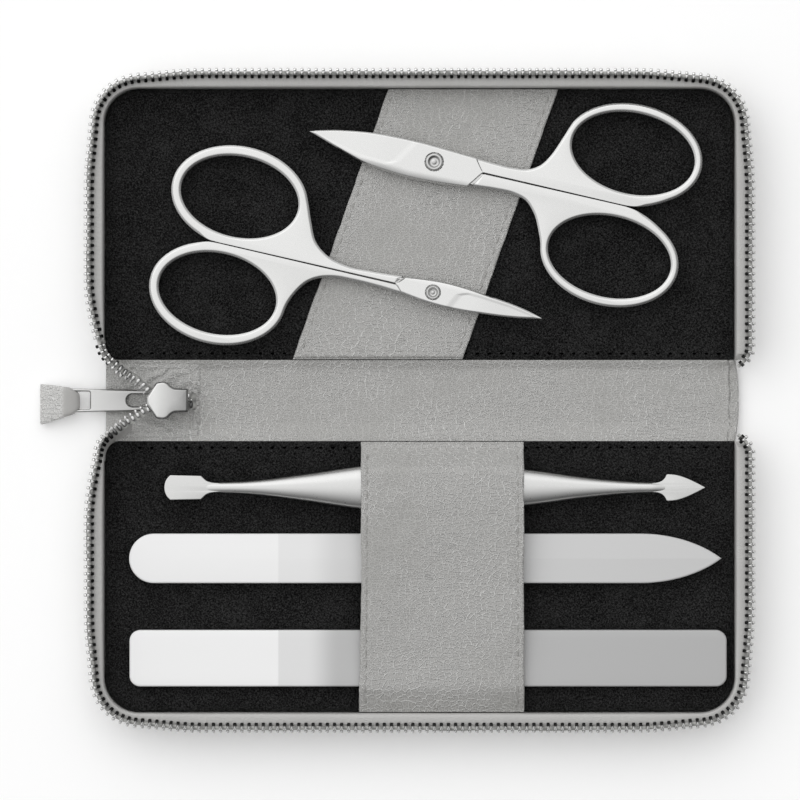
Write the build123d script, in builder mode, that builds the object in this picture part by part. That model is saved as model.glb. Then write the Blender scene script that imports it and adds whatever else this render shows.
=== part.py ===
# Zip-around manicure case, lying open, with two scissors, a cuticle pusher and two files.
# Millimetres. The origin is on the table under the middle of the spine: +X runs along the
# spine to the right, +Y runs over the upper half and +Z points up.
import os
from math import atan2, cos, degrees, radians, sin
from types import SimpleNamespace

from build123d import *

# ---------------------------------------------------------------- driving dimensions
# case
lining_length = 146.3      # each half's lining, along the spine
lining_depth = 62.9        # each half's lining, away from the spine
lining_corner = 8.0        # radius of its two outer corners
spine_width = 18.4         # flat spine between the two fold lines
spine_beyond = 1.15        # the spine's leather reaches past the lining's right end
leather_thick = 1.2        # outer leather
board_thick = 1.2          # stiffening board
suede_thick = 0.8          # suede lining
facing_thick = 0.8         # leather facing on the inside of the spine
fold_gap = 0.3             # from a fold line to the lining beside it
board_inset = 0.4          # the board stops this much inside the lining's outline
# zip wall and chain
wall_thick = 1.1           # leather wall round each half
wall_gap = 0.1             # between the wall's foot and the lining
wall_flare = 2.8           # how far the wall leans out between foot and top
tape_thick = 0.6
tape_rise = 1.3            # tape that stands out of the leather wall
tape_sink = 0.7            # the tape's edge stays this far short of the closing plane
tooth_pitch = 1.65
tooth_wide = 0.66          # along the chain
tooth_deep = 2.3           # across the tape
tooth_tall = 2.3
tooth_bite = 0.6           # how far a tooth reaches past the closing plane
tape_fit = 0.1             # between a tooth's slot and the tape
left_wall_start = 13.5     # from the spine's middle to the left ends of the walls
right_wall_start = 9.8     # the same at the right ends
stop_long = 1.8            # metal stop at the right end of each chain
# bands
band_thick = 1.1
band_setback = 0.8         # keeps the bands' near ends clear of the closed spine
upper_band_left = -29.3    # X of the band's left edge beside the spine
upper_band_width = 39.6
upper_band_slant = 22.0    # how far the far end is shifted to the right
lower_band_left = -13.6
lower_band_width = 37.9
band_room = 0.4            # free height under the arched band
band_seam = 1.2            # width sewn down at each end of the arched band
band_toe = 0.8             # bend radius at its sewn ends
band_bend = 2.5            # bend radius over the tools
# magnets under the scissors
magnet_radius = 4.5
magnet_thick = 1.0
magnet_fit = 0.1
# tools lying in the lower half; a margin is from the lining's left or right end, and a
# place is the tool's distance from the near edge as a share of the lining's depth
rest_gap = 0.1             # flat tools above the suede
round_gap = 0.3            # rounded tools above the suede
file_thick = 2.6
file_bevel = 0.4
pointed_file_margins = (5.65, 2.95)
pointed_file_width = 11.5
pointed_file_place = 0.4324
pointed_file_taper = 19.0
straight_file_margins = (5.75, 1.75)
straight_file_width = 13.1
straight_file_corner = 2.9
straight_file_place = 0.8013
pusher_margins = (13.85, 6.75)
pusher_place = 0.1701
pusher_belly_x = 4.0       # thickest place
pusher_belly = 5.6         # half width there
pusher_height = 6.0        # full height there
spatula_length = 9.2
spatula_width = 5.8
spatula_thick = 1.2
spatula_corner = 0.4       # the shoulders start this much inside the spatula's sides
arrow_length = 9.1
arrow_width = 6.2
arrow_corner = 0.8
neck_radius = 1.15
neck_lap = 2.0             # how far the flat ends run into the handle
# slider and pull, at the left end of the spine
patch_length = 20.6        # leather patch under the slider
patch_thick = 0.8
patch_side = 6.6           # half width of the patch
slider_inset = 9.85        # from the spine's left end to the slider's nose
slider_length = 9.4
slider_shoulder = 3.9      # half width at the shoulder
slider_waist = 2.75        # half width of the narrow part
slider_swell = 0.2         # the hip is wider than the shoulder by this
slider_plate = 0.8
channel_height = 2.4       # between the two plates
channel_fit = 0.15
tape_slot = 1.0            # between the two flanges
flange_thick = 0.6
bridge_bar = 0.5
bridge_half = 1.0          # half width of the bridge
tail_gap = 0.3             # from the slider's tail to where the chain drops to the patch
tail_long = 1.2            # from the slider's tail to the chain's sewn end
link_thick = 0.9
link_fit = 0.15
link_beyond = 9.45         # the link's far end outside the lining's left end
link_wide_out = 5.8
link_wide_in = 4.7
link_bar = 1.3
link_corner = 1.0
link_pin_radius = 0.42     # round bar that turns inside the slider's bridge
link_slot_half = 1.4       # half width of the slot round the bridge
link_slot_share = 0.312    # its straight length as a share of the link's reach
link_tilt = 2.4
tab_slot_share = 0.2       # length of the tab's slot as a share of the link's reach
tab_slot_wide = 4.1
tab_thick = 2.1
tab_beyond = 5.7           # the tab's end outside the link's far end
tab_wide_in = 6.0
tab_wide_out = 9.3
tab_tilt = 17.0
tab_fold_in = 1.6          # how far the fold reaches inside the link's bar
tab_shoulder = 1.0
tab_fit = 0.2
# free lengths of chain between the walls and the slider
lead_thick = 1.6
lead_gap = 0.3
lead_reach = 4.2           # how far the bend lies inside the wall's chain
lead_bend_y = 8.0
lead_bend = 5.0            # bend radius
lead_apart = 1.2           # from the slider's nose corner to the lead's middle
# scissors, both kinds
plate_thick = 1.5          # each of the two crossing blades
plate_gap = 0.05           # between them
grip_thick = 2.6           # shanks and rings
seam_half = 0.1            # half the gap between the two shanks
screw_head_radius = 2.1
screw_head_sink = 0.5
screw_head_proud = 0.3
screw_shank_radius = 1.2
screw_fit = 0.05
socket_share = 0.35        # the socket's radius as a share of the head's
shank_lap = 1.5            # how far the shank runs under the joint plate

nail = SimpleNamespace(
    place=(3.4, 0.7297), heading=-13.0, tip=29.7, edge=3.75, back=4.9,
    edge_shape=((0.70, 0.72), (0.50, 0.93), (0.15, 1.00)),
    back_shape=((0.80, 0.33), (0.54, 0.80), (0.25, 0.98)),
    joint_end=11.6, joint_edge=9.5, joint_back=8.6, back_at_joint=4.1,
    shank_half=3.0, flare=((18.6, 2.9), (22.2, 3.5), (24.7, 5.5), (26.6, 8.7)),
    ring=(44.6, 12.3), hole=(14.45, 9.35), rim=(16.3, 11.5), touch=(45.8, 0.1))
cuticle = SimpleNamespace(
    place=(3.1, 0.2480), heading=167.0, tip=25.9, edge=2.74, back=2.99,
    edge_shape=((0.78, 0.50), (0.48, 0.81), (0.12, 1.00)),
    back_shape=((0.75, 0.47), (0.48, 0.74), (0.08, 1.00)),
    joint_end=8.9, joint_edge=7.2, joint_back=6.8, back_at_joint=2.14,
    shank_half=1.85, flare=((20.0, 1.6), (25.2, 2.5), (28.9, 4.8), (30.9, 8.2)),
    ring=(48.7, 11.5), hole=(13.8, 9.3), rim=(16.1, 11.8), touch=(49.5, 0.1))

# ---------------------------------------------------------------- worked-out places
fold_y = spine_width / 2
fold_z = leather_thick
near_y = fold_y + fold_gap                   # lining edge beside the spine
far_y = near_y + lining_depth                # lining edge away from the spine
board_z = leather_thick
suede_z = board_z + board_thick
floor_z = suede_z + suede_thick              # top of the suede
half_thick = fold_y + fold_z                 # half the closed thickness
tooth_top = half_thick + tooth_bite
tooth_foot = tooth_top - tooth_tall
tape_top = half_thick - tape_sink
wall_top = tape_top - tape_rise
wall_height = wall_top - leather_thick
wall_lean = degrees(atan2(wall_flare, wall_height))
chain_out = wall_gap + wall_flare + wall_thick / 2   # chain's middle, outside the lining
half_length = lining_length / 2
spine_left = -half_length
spine_right = half_length + spine_beyond
band_y = near_y + band_setback               # the bands' ends beside the spine
case_right = half_length + chain_out
case_far = far_y + chain_out
for pair in (nail, cuticle):
    pair.pivot = (pair.place[0], near_y + pair.place[1] * lining_depth)


def half_outline(edge, near, side):
    """A half's outline, edge wider than the lining, from near to its outer edge."""
    far = far_y + edge
    with Locations((0, side * (near + far) / 2)):
        Rectangle(lining_length + 2 * edge, far - near)
    fillet(vertices().group_by(Axis.Y)[-1 if side > 0 else 0], lining_corner + edge)


def half_sheet(label, edge, near, bottom, thick, side):
    """A flat layer of one half."""
    with BuildPart() as sheet:
        with BuildSketch(Plane.XY.offset(bottom)):
            half_outline(edge, near, side)
        extrude(amount=thick)
    sheet.part.label = label
    return sheet.part


def clear_spine_side(bottom, top, side):
    """Cut a ring round a half open beside the spine, and shorter on the left."""
    reach = 2 * case_right
    for start, sign in ((left_wall_start, -1), (right_wall_start, 1)):
        with Locations((sign * reach / 2, side * start, (bottom + top) / 2)):
            Box(reach, 2 * case_far, 2 * (top - bottom),
                align=(Align.CENTER, Align.MAX if side > 0 else Align.MIN, Align.CENTER),
                mode=Mode.SUBTRACT)


def zip_wall(label, side):
    """Leather wall that stands on the cover's margin and leans outwards."""
    with BuildPart() as wall:
        with BuildSketch(Plane.XY.offset(leather_thick)):
            half_outline(wall_gap + wall_thick, 0, side)
        extrude(amount=wall_height, taper=-wall_lean)
        with BuildSketch(Plane.XY.offset(leather_thick)):
            half_outline(wall_gap, 0, side)
        extrude(amount=wall_height, taper=-wall_lean, mode=Mode.SUBTRACT)
        clear_spine_side(leather_thick, wall_top, side)
    wall.part.label = label
    return wall.part


def zip_tape(label, side):
    """Strip of tape that stands out of the wall's top edge."""
    with BuildPart() as tape:
        with BuildSketch(Plane.XY.offset(wall_top)):
            half_outline(chain_out + tape_thick / 2, 0, side)
        extrude(amount=tape_rise)
        with BuildSketch(Plane.XY.offset(wall_top)):
            half_outline(chain_out - tape_thick / 2, 0, side)
        extrude(amount=tape_rise, mode=Mode.SUBTRACT)
        clear_spine_side(wall_top, tape_top, side)
    tape.part.label = label
    return tape.part


def chain_rail(side):
    """The chain's middle line, from its left end round to its right end."""
    with BuildLine():
        rail = FilletPolyline((-case_right, side * left_wall_start), (-case_right, side * case_far),
                              (case_right, side * case_far),
                              (case_right, side * (right_wall_start + stop_long)),
                              radius=lining_corner + chain_out)
    return rail


def zip_teeth(label, side, shift):
    """Teeth clamped over the tape; shift moves them on by a part of the pitch."""
    rail = chain_rail(side)
    count = int(rail.length / tooth_pitch)
    spots = []
    for tooth in range(count):
        along = (tooth + shift) * tooth_pitch / rail.length
        place = rail @ along
        heading = rail % along
        spots.append(Location((place.X, place.Y, tooth_foot),
                              (0, 0, degrees(atan2(heading.Y, heading.X)))))
    slot = tape_thick + 2 * tape_fit
    slot_top = tape_top + tape_fit
    with BuildPart() as tooth_shape:
        with BuildSketch(Plane.YZ):
            with Locations((0, tooth_tall / 2)):
                Rectangle(tooth_deep, tooth_tall)
            with Locations((0, (slot_top - tooth_foot) / 2)):
                Rectangle(slot, slot_top - tooth_foot, mode=Mode.SUBTRACT)
        extrude(amount=tooth_wide / 2, both=True)
    with BuildPart() as teeth:
        with Locations(*spots):
            add(tooth_shape.part)
    teeth.part.label = label
    return teeth.part


def top_stop(label, side):
    """Metal stop clamped over the tape at the right end of a chain."""
    height = half_thick - channel_fit - tooth_foot
    slot_height = tape_top + tape_fit - tooth_foot
    with BuildPart() as stop:
        with Locations((case_right, side * (right_wall_start + stop_long / 2), tooth_foot)):
            Box(tooth_deep, stop_long - 2 * tape_fit, height,
                align=(Align.CENTER, Align.CENTER, Align.MIN))
            Box(tape_thick + 2 * tape_fit, stop_long, slot_height,
                align=(Align.CENTER, Align.CENTER, Align.MIN), mode=Mode.SUBTRACT)
    stop.part.label = label
    return stop.part


os.makedirs("parts", exist_ok=True)
pieces = []

# ---------------------------------------------------------------- the two halves
for name, side, shift in (("lower", -1, 0.25), ("upper", 1, 0.75)):
    margin = wall_gap + wall_thick
    pieces.append(half_sheet(name + "_cover", margin, fold_y, 0, leather_thick, side))
    pieces.append(half_sheet(name + "_lining", 0, near_y, suede_z, suede_thick, side))
    pieces.append(zip_wall(name + "_zip_wall", side))
    pieces.append(zip_tape(name + "_zip_tape", side))
    pieces.append(zip_teeth(name + "_zip_teeth", side, shift))
    pieces.append(top_stop(name + "_top_stop", side))
pieces.append(half_sheet("lower_board", -board_inset, near_y + board_inset, board_z,
                         board_thick, -1))

# The upper board has a round hole for each magnet under a pair of scissors.
upper_board = half_sheet("upper_board", -board_inset, near_y + board_inset, board_z,
                         board_thick, 1)
with BuildPart() as upper_board_cut:
    add(upper_board)
    with Locations(*[(*pair.pivot, board_z) for pair in (nail, cuticle)]):
        Cylinder(magnet_radius + magnet_fit, 3 * board_thick, mode=Mode.SUBTRACT)
upper_board_cut.part.label = "upper_board"
pieces.append(upper_board_cut.part)

with BuildPart() as scissor_magnets:
    with Locations(*[(*pair.pivot, board_z) for pair in (nail, cuticle)]):
        Cylinder(magnet_radius, magnet_thick, align=(Align.CENTER, Align.CENTER, Align.MIN))
scissor_magnets.part.label = "scissor_magnets"
pieces.append(scissor_magnets.part)

# ---------------------------------------------------------------- bands
with BuildPart() as upper_band:
    with BuildSketch(Plane.XY.offset(floor_z)):
        with BuildLine():
            Polyline((upper_band_left, band_y),
                     (upper_band_left + upper_band_width, band_y),
                     (upper_band_left + upper_band_width + upper_band_slant, far_y),
                     (upper_band_left + upper_band_slant, far_y), close=True)
        make_face()
    extrude(amount=band_thick)
upper_band.part.label = "upper_band"
pieces.append(upper_band.part)

# The lower band is sewn down at both ends and arches over the pusher and the files.
pusher_y = -near_y - pusher_place * lining_depth
pointed_file_y = -near_y - pointed_file_place * lining_depth
straight_file_y = -near_y - straight_file_place * lining_depth
pusher_z = floor_z + round_gap + pusher_height / 2
file_z = floor_z + rest_gap
crest = pusher_z + pusher_height / 2 + band_room + band_thick / 2
low = file_z + file_thick + band_room + band_thick / 2
sewn = floor_z + band_thick / 2
crest_near = pusher_y + 0.72 * pusher_belly
crest_far = pusher_y - 0.32 * pusher_belly
file_edge = pointed_file_y + pointed_file_width / 2
far_edge = straight_file_y - straight_file_width / 2
with BuildPart() as lower_band:
    with BuildSketch(Plane.YZ.offset(lower_band_left)):
        with BuildLine() as arch:
            FilletPolyline((-band_y, sewn), (-band_y - band_seam, sewn),
                           (crest_near, crest), (crest_far, crest),
                           (file_edge - band_thick, low),
                           (far_edge - band_thick, low),
                           (-far_y + band_seam, sewn), (-far_y, sewn),
                           radius=(band_toe, band_bend, band_bend, band_bend, band_toe,
                                   band_toe))
        trace(arch.line, line_width=band_thick)
    extrude(amount=lower_band_width)
lower_band.part.label = "lower_band"
pieces.append(lower_band.part)

# ---------------------------------------------------------------- spine
with BuildPart() as spine_cover:
    with BuildSketch():
        with Locations(((spine_left + spine_right) / 2, 0)):
            Rectangle(spine_right - spine_left, spine_width)
    extrude(amount=leather_thick)
spine_cover.part.label = "spine_cover"
pieces.append(spine_cover.part)

fold_room = board_thick + suede_thick + fold_gap     # what a folded half takes from the spine
with BuildPart() as spine_facing:
    with BuildSketch(Plane.XY.offset(leather_thick)):
        with Locations(((spine_left + spine_right) / 2, 0)):
            Rectangle(spine_right - spine_left, spine_width - 2 * fold_room)
    extrude(amount=facing_thick)
spine_facing.part.label = "spine_facing"
pieces.append(spine_facing.part)

patch_z = leather_thick + facing_thick
patch_top = patch_z + patch_thick
with BuildPart() as zip_end_patch:
    with BuildSketch(Plane.XY.offset(patch_z)):
        with Locations((spine_left + patch_length / 2, 0)):
            Rectangle(patch_length, 2 * patch_side)
        fillet(vertices().group_by(Axis.X)[-1], band_thick)
    extrude(amount=patch_thick)
zip_end_patch.part.label = "zip_end_patch"
pieces.append(zip_end_patch.part)

# ---------------------------------------------------------------- slider
bridge_z = patch_top + rest_gap
link_z = bridge_z + bridge_bar + link_fit + link_thick / 2
lower_plate_z = link_z + link_thick / 2 + 2 * link_fit
channel_z = lower_plate_z + slider_plate
upper_plate_z = channel_z + channel_height
slider_nose = spine_left + slider_inset
slider_tail = slider_nose + slider_length
shoulder_x = slider_nose + 0.2 * slider_length
hip_x = slider_nose + 0.42 * slider_length
waist_x = slider_nose + 0.72 * slider_length
nose_half = 0.2 * slider_shoulder
hip_half = slider_shoulder + slider_swell
pivot_x = slider_nose + 0.4 * slider_length


def slider_outline(inset=0, mode=Mode.ADD):
    """Outline of a slider plate: blunt nose, wide shoulders, waist and square tail."""
    with BuildLine() as plate:
        nose = Polyline((slider_nose, 0), (slider_nose, nose_half),
                        (shoulder_x, slider_shoulder - inset))
        hip = Spline(nose @ 1, (hip_x, hip_half - inset), (waist_x, slider_waist - inset),
                     tangents=((1, 0.8), (1, 0)))
        Polyline(hip @ 1, (slider_tail + inset, slider_waist - inset),
                 (slider_tail + inset, 0))
        mirror(about=Plane.XZ)
    make_face(plate.edges(), mode=mode)


def slider_flange(bottom, height):
    """Rims along both sides of a plate, open at the nose and at the tail."""
    with BuildSketch(Plane.XY.offset(bottom)) as rims:
        slider_outline()
        slider_outline(flange_thick, Mode.SUBTRACT)
        with Locations((slider_nose, 0)):
            Rectangle(2 * (shoulder_x - slider_nose), 4 * slider_shoulder, mode=Mode.SUBTRACT)
    extrude(rims.sketch, amount=height)


with BuildPart() as slider_body:
    for bottom in (lower_plate_z, upper_plate_z):
        with BuildSketch(Plane.XY.offset(bottom)):
            slider_outline()
        extrude(amount=slider_plate)
    flange_height = (channel_height - tape_slot) / 2
    slider_flange(channel_z, flange_height)
    slider_flange(upper_plate_z - flange_height, flange_height)
    # wedge that parts the two chains at the nose
    with BuildSketch(Plane.XY.offset(channel_z)):
        with BuildLine():
            Polyline((slider_nose, nose_half), (shoulder_x + flange_thick, 0),
                     (slider_nose, -nose_half), close=True)
        make_face()
    extrude(amount=channel_height)
    # bridge under the lower plate, which holds the pull
    bridge_reach = link_bar / 2 + 2 * link_fit + bridge_bar
    with BuildSketch(Plane.XZ):
        with Locations((pivot_x, (bridge_z + lower_plate_z) / 2)):
            Rectangle(2 * bridge_reach, lower_plate_z - bridge_z)
        with Locations((pivot_x, (bridge_z + bridge_bar + lower_plate_z) / 2)):
            Rectangle(2 * (bridge_reach - bridge_bar), lower_plate_z - bridge_z - bridge_bar,
                      mode=Mode.SUBTRACT)
    extrude(amount=bridge_half, both=True)
slider_body.part.label = "slider_body"
pieces.append(slider_body.part)

# The joined end of the two chains runs through the slider and down to the patch.
tail_half = slider_waist - flange_thick - channel_fit
with BuildPart() as zip_tail:
    with BuildSketch(Plane.XZ):
        with BuildLine():
            tail_low = channel_z + channel_fit
            tail_high = upper_plate_z - channel_fit
            tail_start = shoulder_x + flange_thick + 2 * channel_fit
            Polyline((tail_start, tail_low), (slider_tail + tail_gap, tail_low),
                     (slider_tail + tail_gap, patch_top), (slider_tail + tail_long, patch_top),
                     (slider_tail + tail_long, tail_high), (tail_start, tail_high), close=True)
        make_face()
    extrude(amount=tail_half, both=True)
zip_tail.part.label = "zip_tail"
pieces.append(zip_tail.part)

# ---------------------------------------------------------------- pull
# The link lies from the bridge out over the patch's edge, tilted down a little.
link_down = radians(link_tilt)
link_plane = Plane(origin=(pivot_x, 0, link_z), x_dir=(-cos(link_down), 0, -sin(link_down)),
                   z_dir=(-sin(link_down), 0, cos(link_down)))
link_reach = (half_length + link_beyond + pivot_x) / cos(link_down)
link_slot = link_slot_share * link_reach
tab_slot = tab_slot_share * link_reach
with BuildPart() as pull_link:
    with BuildSketch(link_plane.offset(-link_thick / 2)):
        with BuildLine():
            Polyline((-link_bar / 2, link_wide_in / 2), (link_reach, link_wide_out / 2),
                     (link_reach, -link_wide_out / 2), (-link_bar / 2, -link_wide_in / 2),
                     close=True)
        make_face()
        fillet(vertices().group_by(Axis.X)[0], link_corner)
        # slot round the bridge, with a round far end
        with Locations((link_slot / 2, 0)):
            Rectangle(link_slot + link_bar, 2 * link_slot_half, mode=Mode.SUBTRACT)
        with Locations((link_slot + link_bar / 2, 0)):
            Circle(link_slot_half, mode=Mode.SUBTRACT)
        # slot for the leather tab
        with Locations((link_reach - link_bar - tab_slot / 2, 0)):
            Rectangle(tab_slot, tab_slot_wide, mode=Mode.SUBTRACT)
    extrude(amount=link_thick)
    # round bar that turns inside the bridge
    with BuildSketch(Plane(origin=(pivot_x, 0, link_z), x_dir=(1, 0, 0), z_dir=(0, -1, 0))):
        Circle(link_pin_radius)
    extrude(amount=link_slot_half + link_bar / 4, both=True)
pull_link.part.label = "pull_link"
pieces.append(pull_link.part)

# The leather tab is folded round the link's outer bar and slopes down to the table.
bar_middle = link_plane.from_local_coords(Vector(link_reach - link_bar / 2, 0, 0))
tab_down = radians(tab_tilt)
tab_plane = Plane(origin=bar_middle, x_dir=(-cos(tab_down), 0, -sin(tab_down)),
                  z_dir=(-sin(tab_down), 0, cos(tab_down)))
tab_reach = (half_length + link_beyond + tab_beyond + bar_middle.X) / cos(tab_down)
hollow = link_bar / 2 + tab_fit
cheek = tab_slot_wide / 2 - tab_fit      # the tab's neck passes through the link's slot
with BuildPart() as pull_tab:
    with BuildSketch(tab_plane.offset(-tab_thick / 2)):
        with BuildLine():
            tab_start = link_bar + tab_shoulder
            Polyline((-tab_fold_in, cheek), (link_bar, cheek), (tab_start, tab_wide_in / 2),
                     (tab_reach, tab_wide_out / 2), (tab_reach, -tab_wide_out / 2),
                     (tab_start, -tab_wide_in / 2), (link_bar, -cheek),
                     (-tab_fold_in, -cheek), close=True)
        make_face()
    extrude(amount=tab_thick)
    with BuildSketch(Plane(origin=bar_middle, x_dir=(1, 0, 0), z_dir=(0, -1, 0))):
        Circle(hollow)
    extrude(amount=tab_wide_out, both=True, mode=Mode.SUBTRACT)
pull_tab.part.label = "pull_tab"
pieces.append(pull_tab.part)


# Each chain runs free from the left end of its wall to the slider's nose.
def zip_lead(label, side):
    """Free length of one chain, which bends when the half is folded."""
    start = Vector(-case_right, side * (left_wall_start - lead_gap - lead_thick / 2),
                   wall_top + tape_rise / 2)
    knee = Vector(lead_reach - case_right, side * lead_bend_y, (wall_top + channel_z) / 2)
    end = Vector(slider_nose - lead_gap, side * (nose_half + lead_apart),
                 channel_z + channel_height / 2)
    with BuildPart() as lead:
        with BuildLine():
            route = FilletPolyline(start, knee, end, radius=lead_bend)
        with BuildSketch(Plane(origin=start, z_dir=route % 0)):
            Rectangle(lead_thick, lead_thick)
        sweep()
    lead.part.label = label
    return lead.part


pieces.append(zip_lead("zip_lead_lower", -1))
pieces.append(zip_lead("zip_lead_upper", 1))

# ---------------------------------------------------------------- files and pusher
pointed_file_left = pointed_file_margins[0] - half_length
pointed_file_right = half_length - pointed_file_margins[1]
with BuildPart() as pointed_file:
    with BuildSketch(Plane.XY.offset(file_z)):
        half = pointed_file_width / 2
        shoulder = pointed_file_right - pointed_file_taper
        with BuildLine():
            top = Line((pointed_file_left + half, pointed_file_y + half),
                       (shoulder, pointed_file_y + half))
            upper_taper = Spline(top @ 1, (pointed_file_right, pointed_file_y),
                                 tangents=((1, 0), (1, -0.75)))
            lower_taper = Spline((pointed_file_right, pointed_file_y),
                                 (shoulder, pointed_file_y - half),
                                 tangents=((-1, -0.75), (-1, 0)))
            bottom = Line(lower_taper @ 1, (pointed_file_left + half, pointed_file_y - half))
            ThreePointArc(bottom @ 1, (pointed_file_left, pointed_file_y), top @ 0)
        make_face()
    extrude(amount=file_thick)
    chamfer(faces().sort_by(Axis.Z)[-1].edges(), file_bevel)
pointed_file.part.label = "pointed_file"
pieces.append(pointed_file.part)

straight_file_left = straight_file_margins[0] - half_length
straight_file_right = half_length - straight_file_margins[1]
with BuildPart() as straight_file:
    with BuildSketch(Plane.XY.offset(file_z)):
        with Locations(((straight_file_left + straight_file_right) / 2, straight_file_y)):
            RectangleRounded(straight_file_right - straight_file_left, straight_file_width,
                             straight_file_corner)
    extrude(amount=file_thick)
    chamfer(faces().sort_by(Axis.Z)[-1].edges(), file_bevel)
straight_file.part.label = "straight_file"
pieces.append(straight_file.part)

# The pusher's handle is a flat spindle: ellipses whose half widths swell to the belly.
pusher_left = pusher_margins[0] - half_length
pusher_right = half_length - pusher_margins[1]
handle_left = pusher_left + spatula_length
handle_right = pusher_right - arrow_length
handle_shape = ((0.0, 0.0), (0.18, 0.13), (0.40, 0.55), (0.66, 0.89), (1.0, 1.0))
with BuildPart() as cuticle_pusher:
    stations = [(handle_left + (pusher_belly_x - handle_left) * share, swell)
                for share, swell in handle_shape]
    stations += [(handle_right + (pusher_belly_x - handle_right) * share, swell)
                 for share, swell in reversed(handle_shape[:-1])]
    for place, swell in stations:
        half = neck_radius + (pusher_belly - neck_radius) * swell
        tall = neck_radius + (pusher_height / 2 - neck_radius) * swell
        with BuildSketch(Plane(origin=(place, pusher_y, pusher_z), x_dir=(0, 1, 0),
                               z_dir=(1, 0, 0))):
            Ellipse(half, tall)
    loft()
    # rounded spatula at the left end
    with BuildSketch(Plane.XY.offset(pusher_z - spatula_thick / 2)):
        blade_left = pusher_left + 0.5 * spatula_length
        with Locations((blade_left, pusher_y)):
            RectangleRounded(spatula_length, spatula_width, 0.3 * spatula_width)
        with BuildLine():
            spatula_half = spatula_width / 2 - spatula_corner
            spatula_end = handle_left - 0.25 * spatula_length
            Polyline((spatula_end, pusher_y + spatula_half),
                     (handle_left + neck_lap, pusher_y + 0.8 * neck_radius),
                     (handle_left + neck_lap, pusher_y - 0.8 * neck_radius),
                     (spatula_end, pusher_y - spatula_half), close=True)
        make_face()
    extrude(amount=spatula_thick)
    # arrowhead nail cleaner at the right end
    with BuildSketch(Plane.XY.offset(pusher_z - spatula_thick / 2)):
        with BuildLine():
            nape = handle_right - neck_lap
            wing = handle_right + 0.18 * arrow_length
            Polyline((nape, pusher_y + 0.8 * neck_radius), (wing, pusher_y + arrow_width / 2),
                     (pusher_right, pusher_y), (wing, pusher_y - arrow_width / 2),
                     (nape, pusher_y - 0.8 * neck_radius), close=True)
        make_face()
        fillet(vertices().group_by(Axis.Y)[0] + vertices().group_by(Axis.Y)[-1], arrow_corner)
    extrude(amount=spatula_thick)
cuticle_pusher.part.label = "cuticle_pusher"
pieces.append(cuticle_pusher.part)

# ---------------------------------------------------------------- scissors
# Each pair is drawn in its own frame: the pivot at the origin, +x towards the rings and +y
# towards the ring of the half that lies on top.
band_top = floor_z + band_thick
lower_plate = band_top + rest_gap
upper_plate = lower_plate + plate_thick + plate_gap
pair_top = upper_plate + plate_thick
grip_z = (lower_plate + pair_top) / 2 - grip_thick / 2


def pair_plane(pair, height):
    """Horizontal plane in the pair's own frame, at a height above the table."""
    turn = radians(pair.heading)
    return Plane(origin=(*pair.pivot, height), x_dir=(cos(turn), sin(turn), 0), z_dir=(0, 0, 1))


def blade_outline(pair, inset=0):
    """Blade and joint plate: a pointed blade that ends in a chevron at the shanks."""
    with BuildLine() as blade:
        tip = (-pair.tip + 2 * inset, 0)
        edge_end = (pair.joint_edge - inset, pair.shank_half - inset)
        back_end = (pair.joint_back - inset, inset - pair.back_at_joint)
        Spline(tip, *[(-pair.tip * along, (pair.edge - inset) * wide)
                      for along, wide in pair.edge_shape], edge_end)
        Polyline(edge_end, (pair.joint_end - inset, 0), back_end)
        Spline(tip, *[(-pair.tip * along, (inset - pair.back) * wide)
                      for along, wide in pair.back_shape], back_end)
    make_face(blade.edges())


def joint_relief(pair, gap):
    """Room that an upper layer leaves round the other half's joint plate."""
    side_reach = pair.back + pair.edge
    with BuildLine() as relief:
        Polyline((-pair.tip, side_reach), (pair.joint_edge + gap, side_reach),
                 (pair.joint_edge + gap, pair.shank_half), (pair.joint_end + gap, 0),
                 (pair.joint_back + gap, -pair.back_at_joint),
                 (pair.joint_back + gap, -side_reach), (-pair.tip, -side_reach), close=True)
    make_face(relief.edges(), mode=Mode.SUBTRACT)


def grip_outline(pair, up):
    """Shank and finger ring on one side of the seam; up is 1 or -1."""
    ring_x, ring_y = pair.ring
    start = pair.joint_edge - shank_lap
    with BuildLine() as shank:
        seam = Line((start, up * seam_half), (pair.touch[0], up * seam_half))
        lip = Line(seam @ 0, (start, up * pair.shank_half))
        flank = Spline(lip @ 1, *[(along, up * wide) for along, wide in pair.flare],
                       (ring_x - 0.97 * pair.rim[0], up * ring_y))
        Polyline(flank @ 1, (ring_x, up * ring_y), seam @ 1)
    make_face(shank.edges())
    with Locations((ring_x, up * ring_y)):
        Ellipse(*pair.rim)
        Ellipse(*pair.hole, mode=Mode.SUBTRACT)
    with Locations((ring_x, -up * case_far + up * seam_half)):
        Rectangle(2 * case_right, 2 * case_far, mode=Mode.SUBTRACT)


def top_half(label, pair):
    """Half whose blade lies on top; its shank steps down outside the joint."""
    with BuildPart() as half:
        with BuildSketch(pair_plane(pair, upper_plate)):
            blade_outline(pair)
        extrude(amount=plate_thick)
        with BuildSketch(pair_plane(pair, upper_plate)):
            grip_outline(pair, 1)
        extrude(amount=grip_z + grip_thick - upper_plate)
        with BuildSketch(pair_plane(pair, grip_z)):
            grip_outline(pair, 1)
            Circle(pair.joint_end, mode=Mode.SUBTRACT)
        extrude(amount=upper_plate - grip_z)
        with BuildSketch(pair_plane(pair, upper_plate)):
            Circle(screw_shank_radius + screw_fit)
        extrude(amount=plate_thick, mode=Mode.SUBTRACT)
        with BuildSketch(pair_plane(pair, pair_top - screw_head_sink)):
            Circle(screw_head_radius + screw_fit)
        extrude(amount=screw_head_sink, mode=Mode.SUBTRACT)
    half.part.label = label
    return half.part


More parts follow.
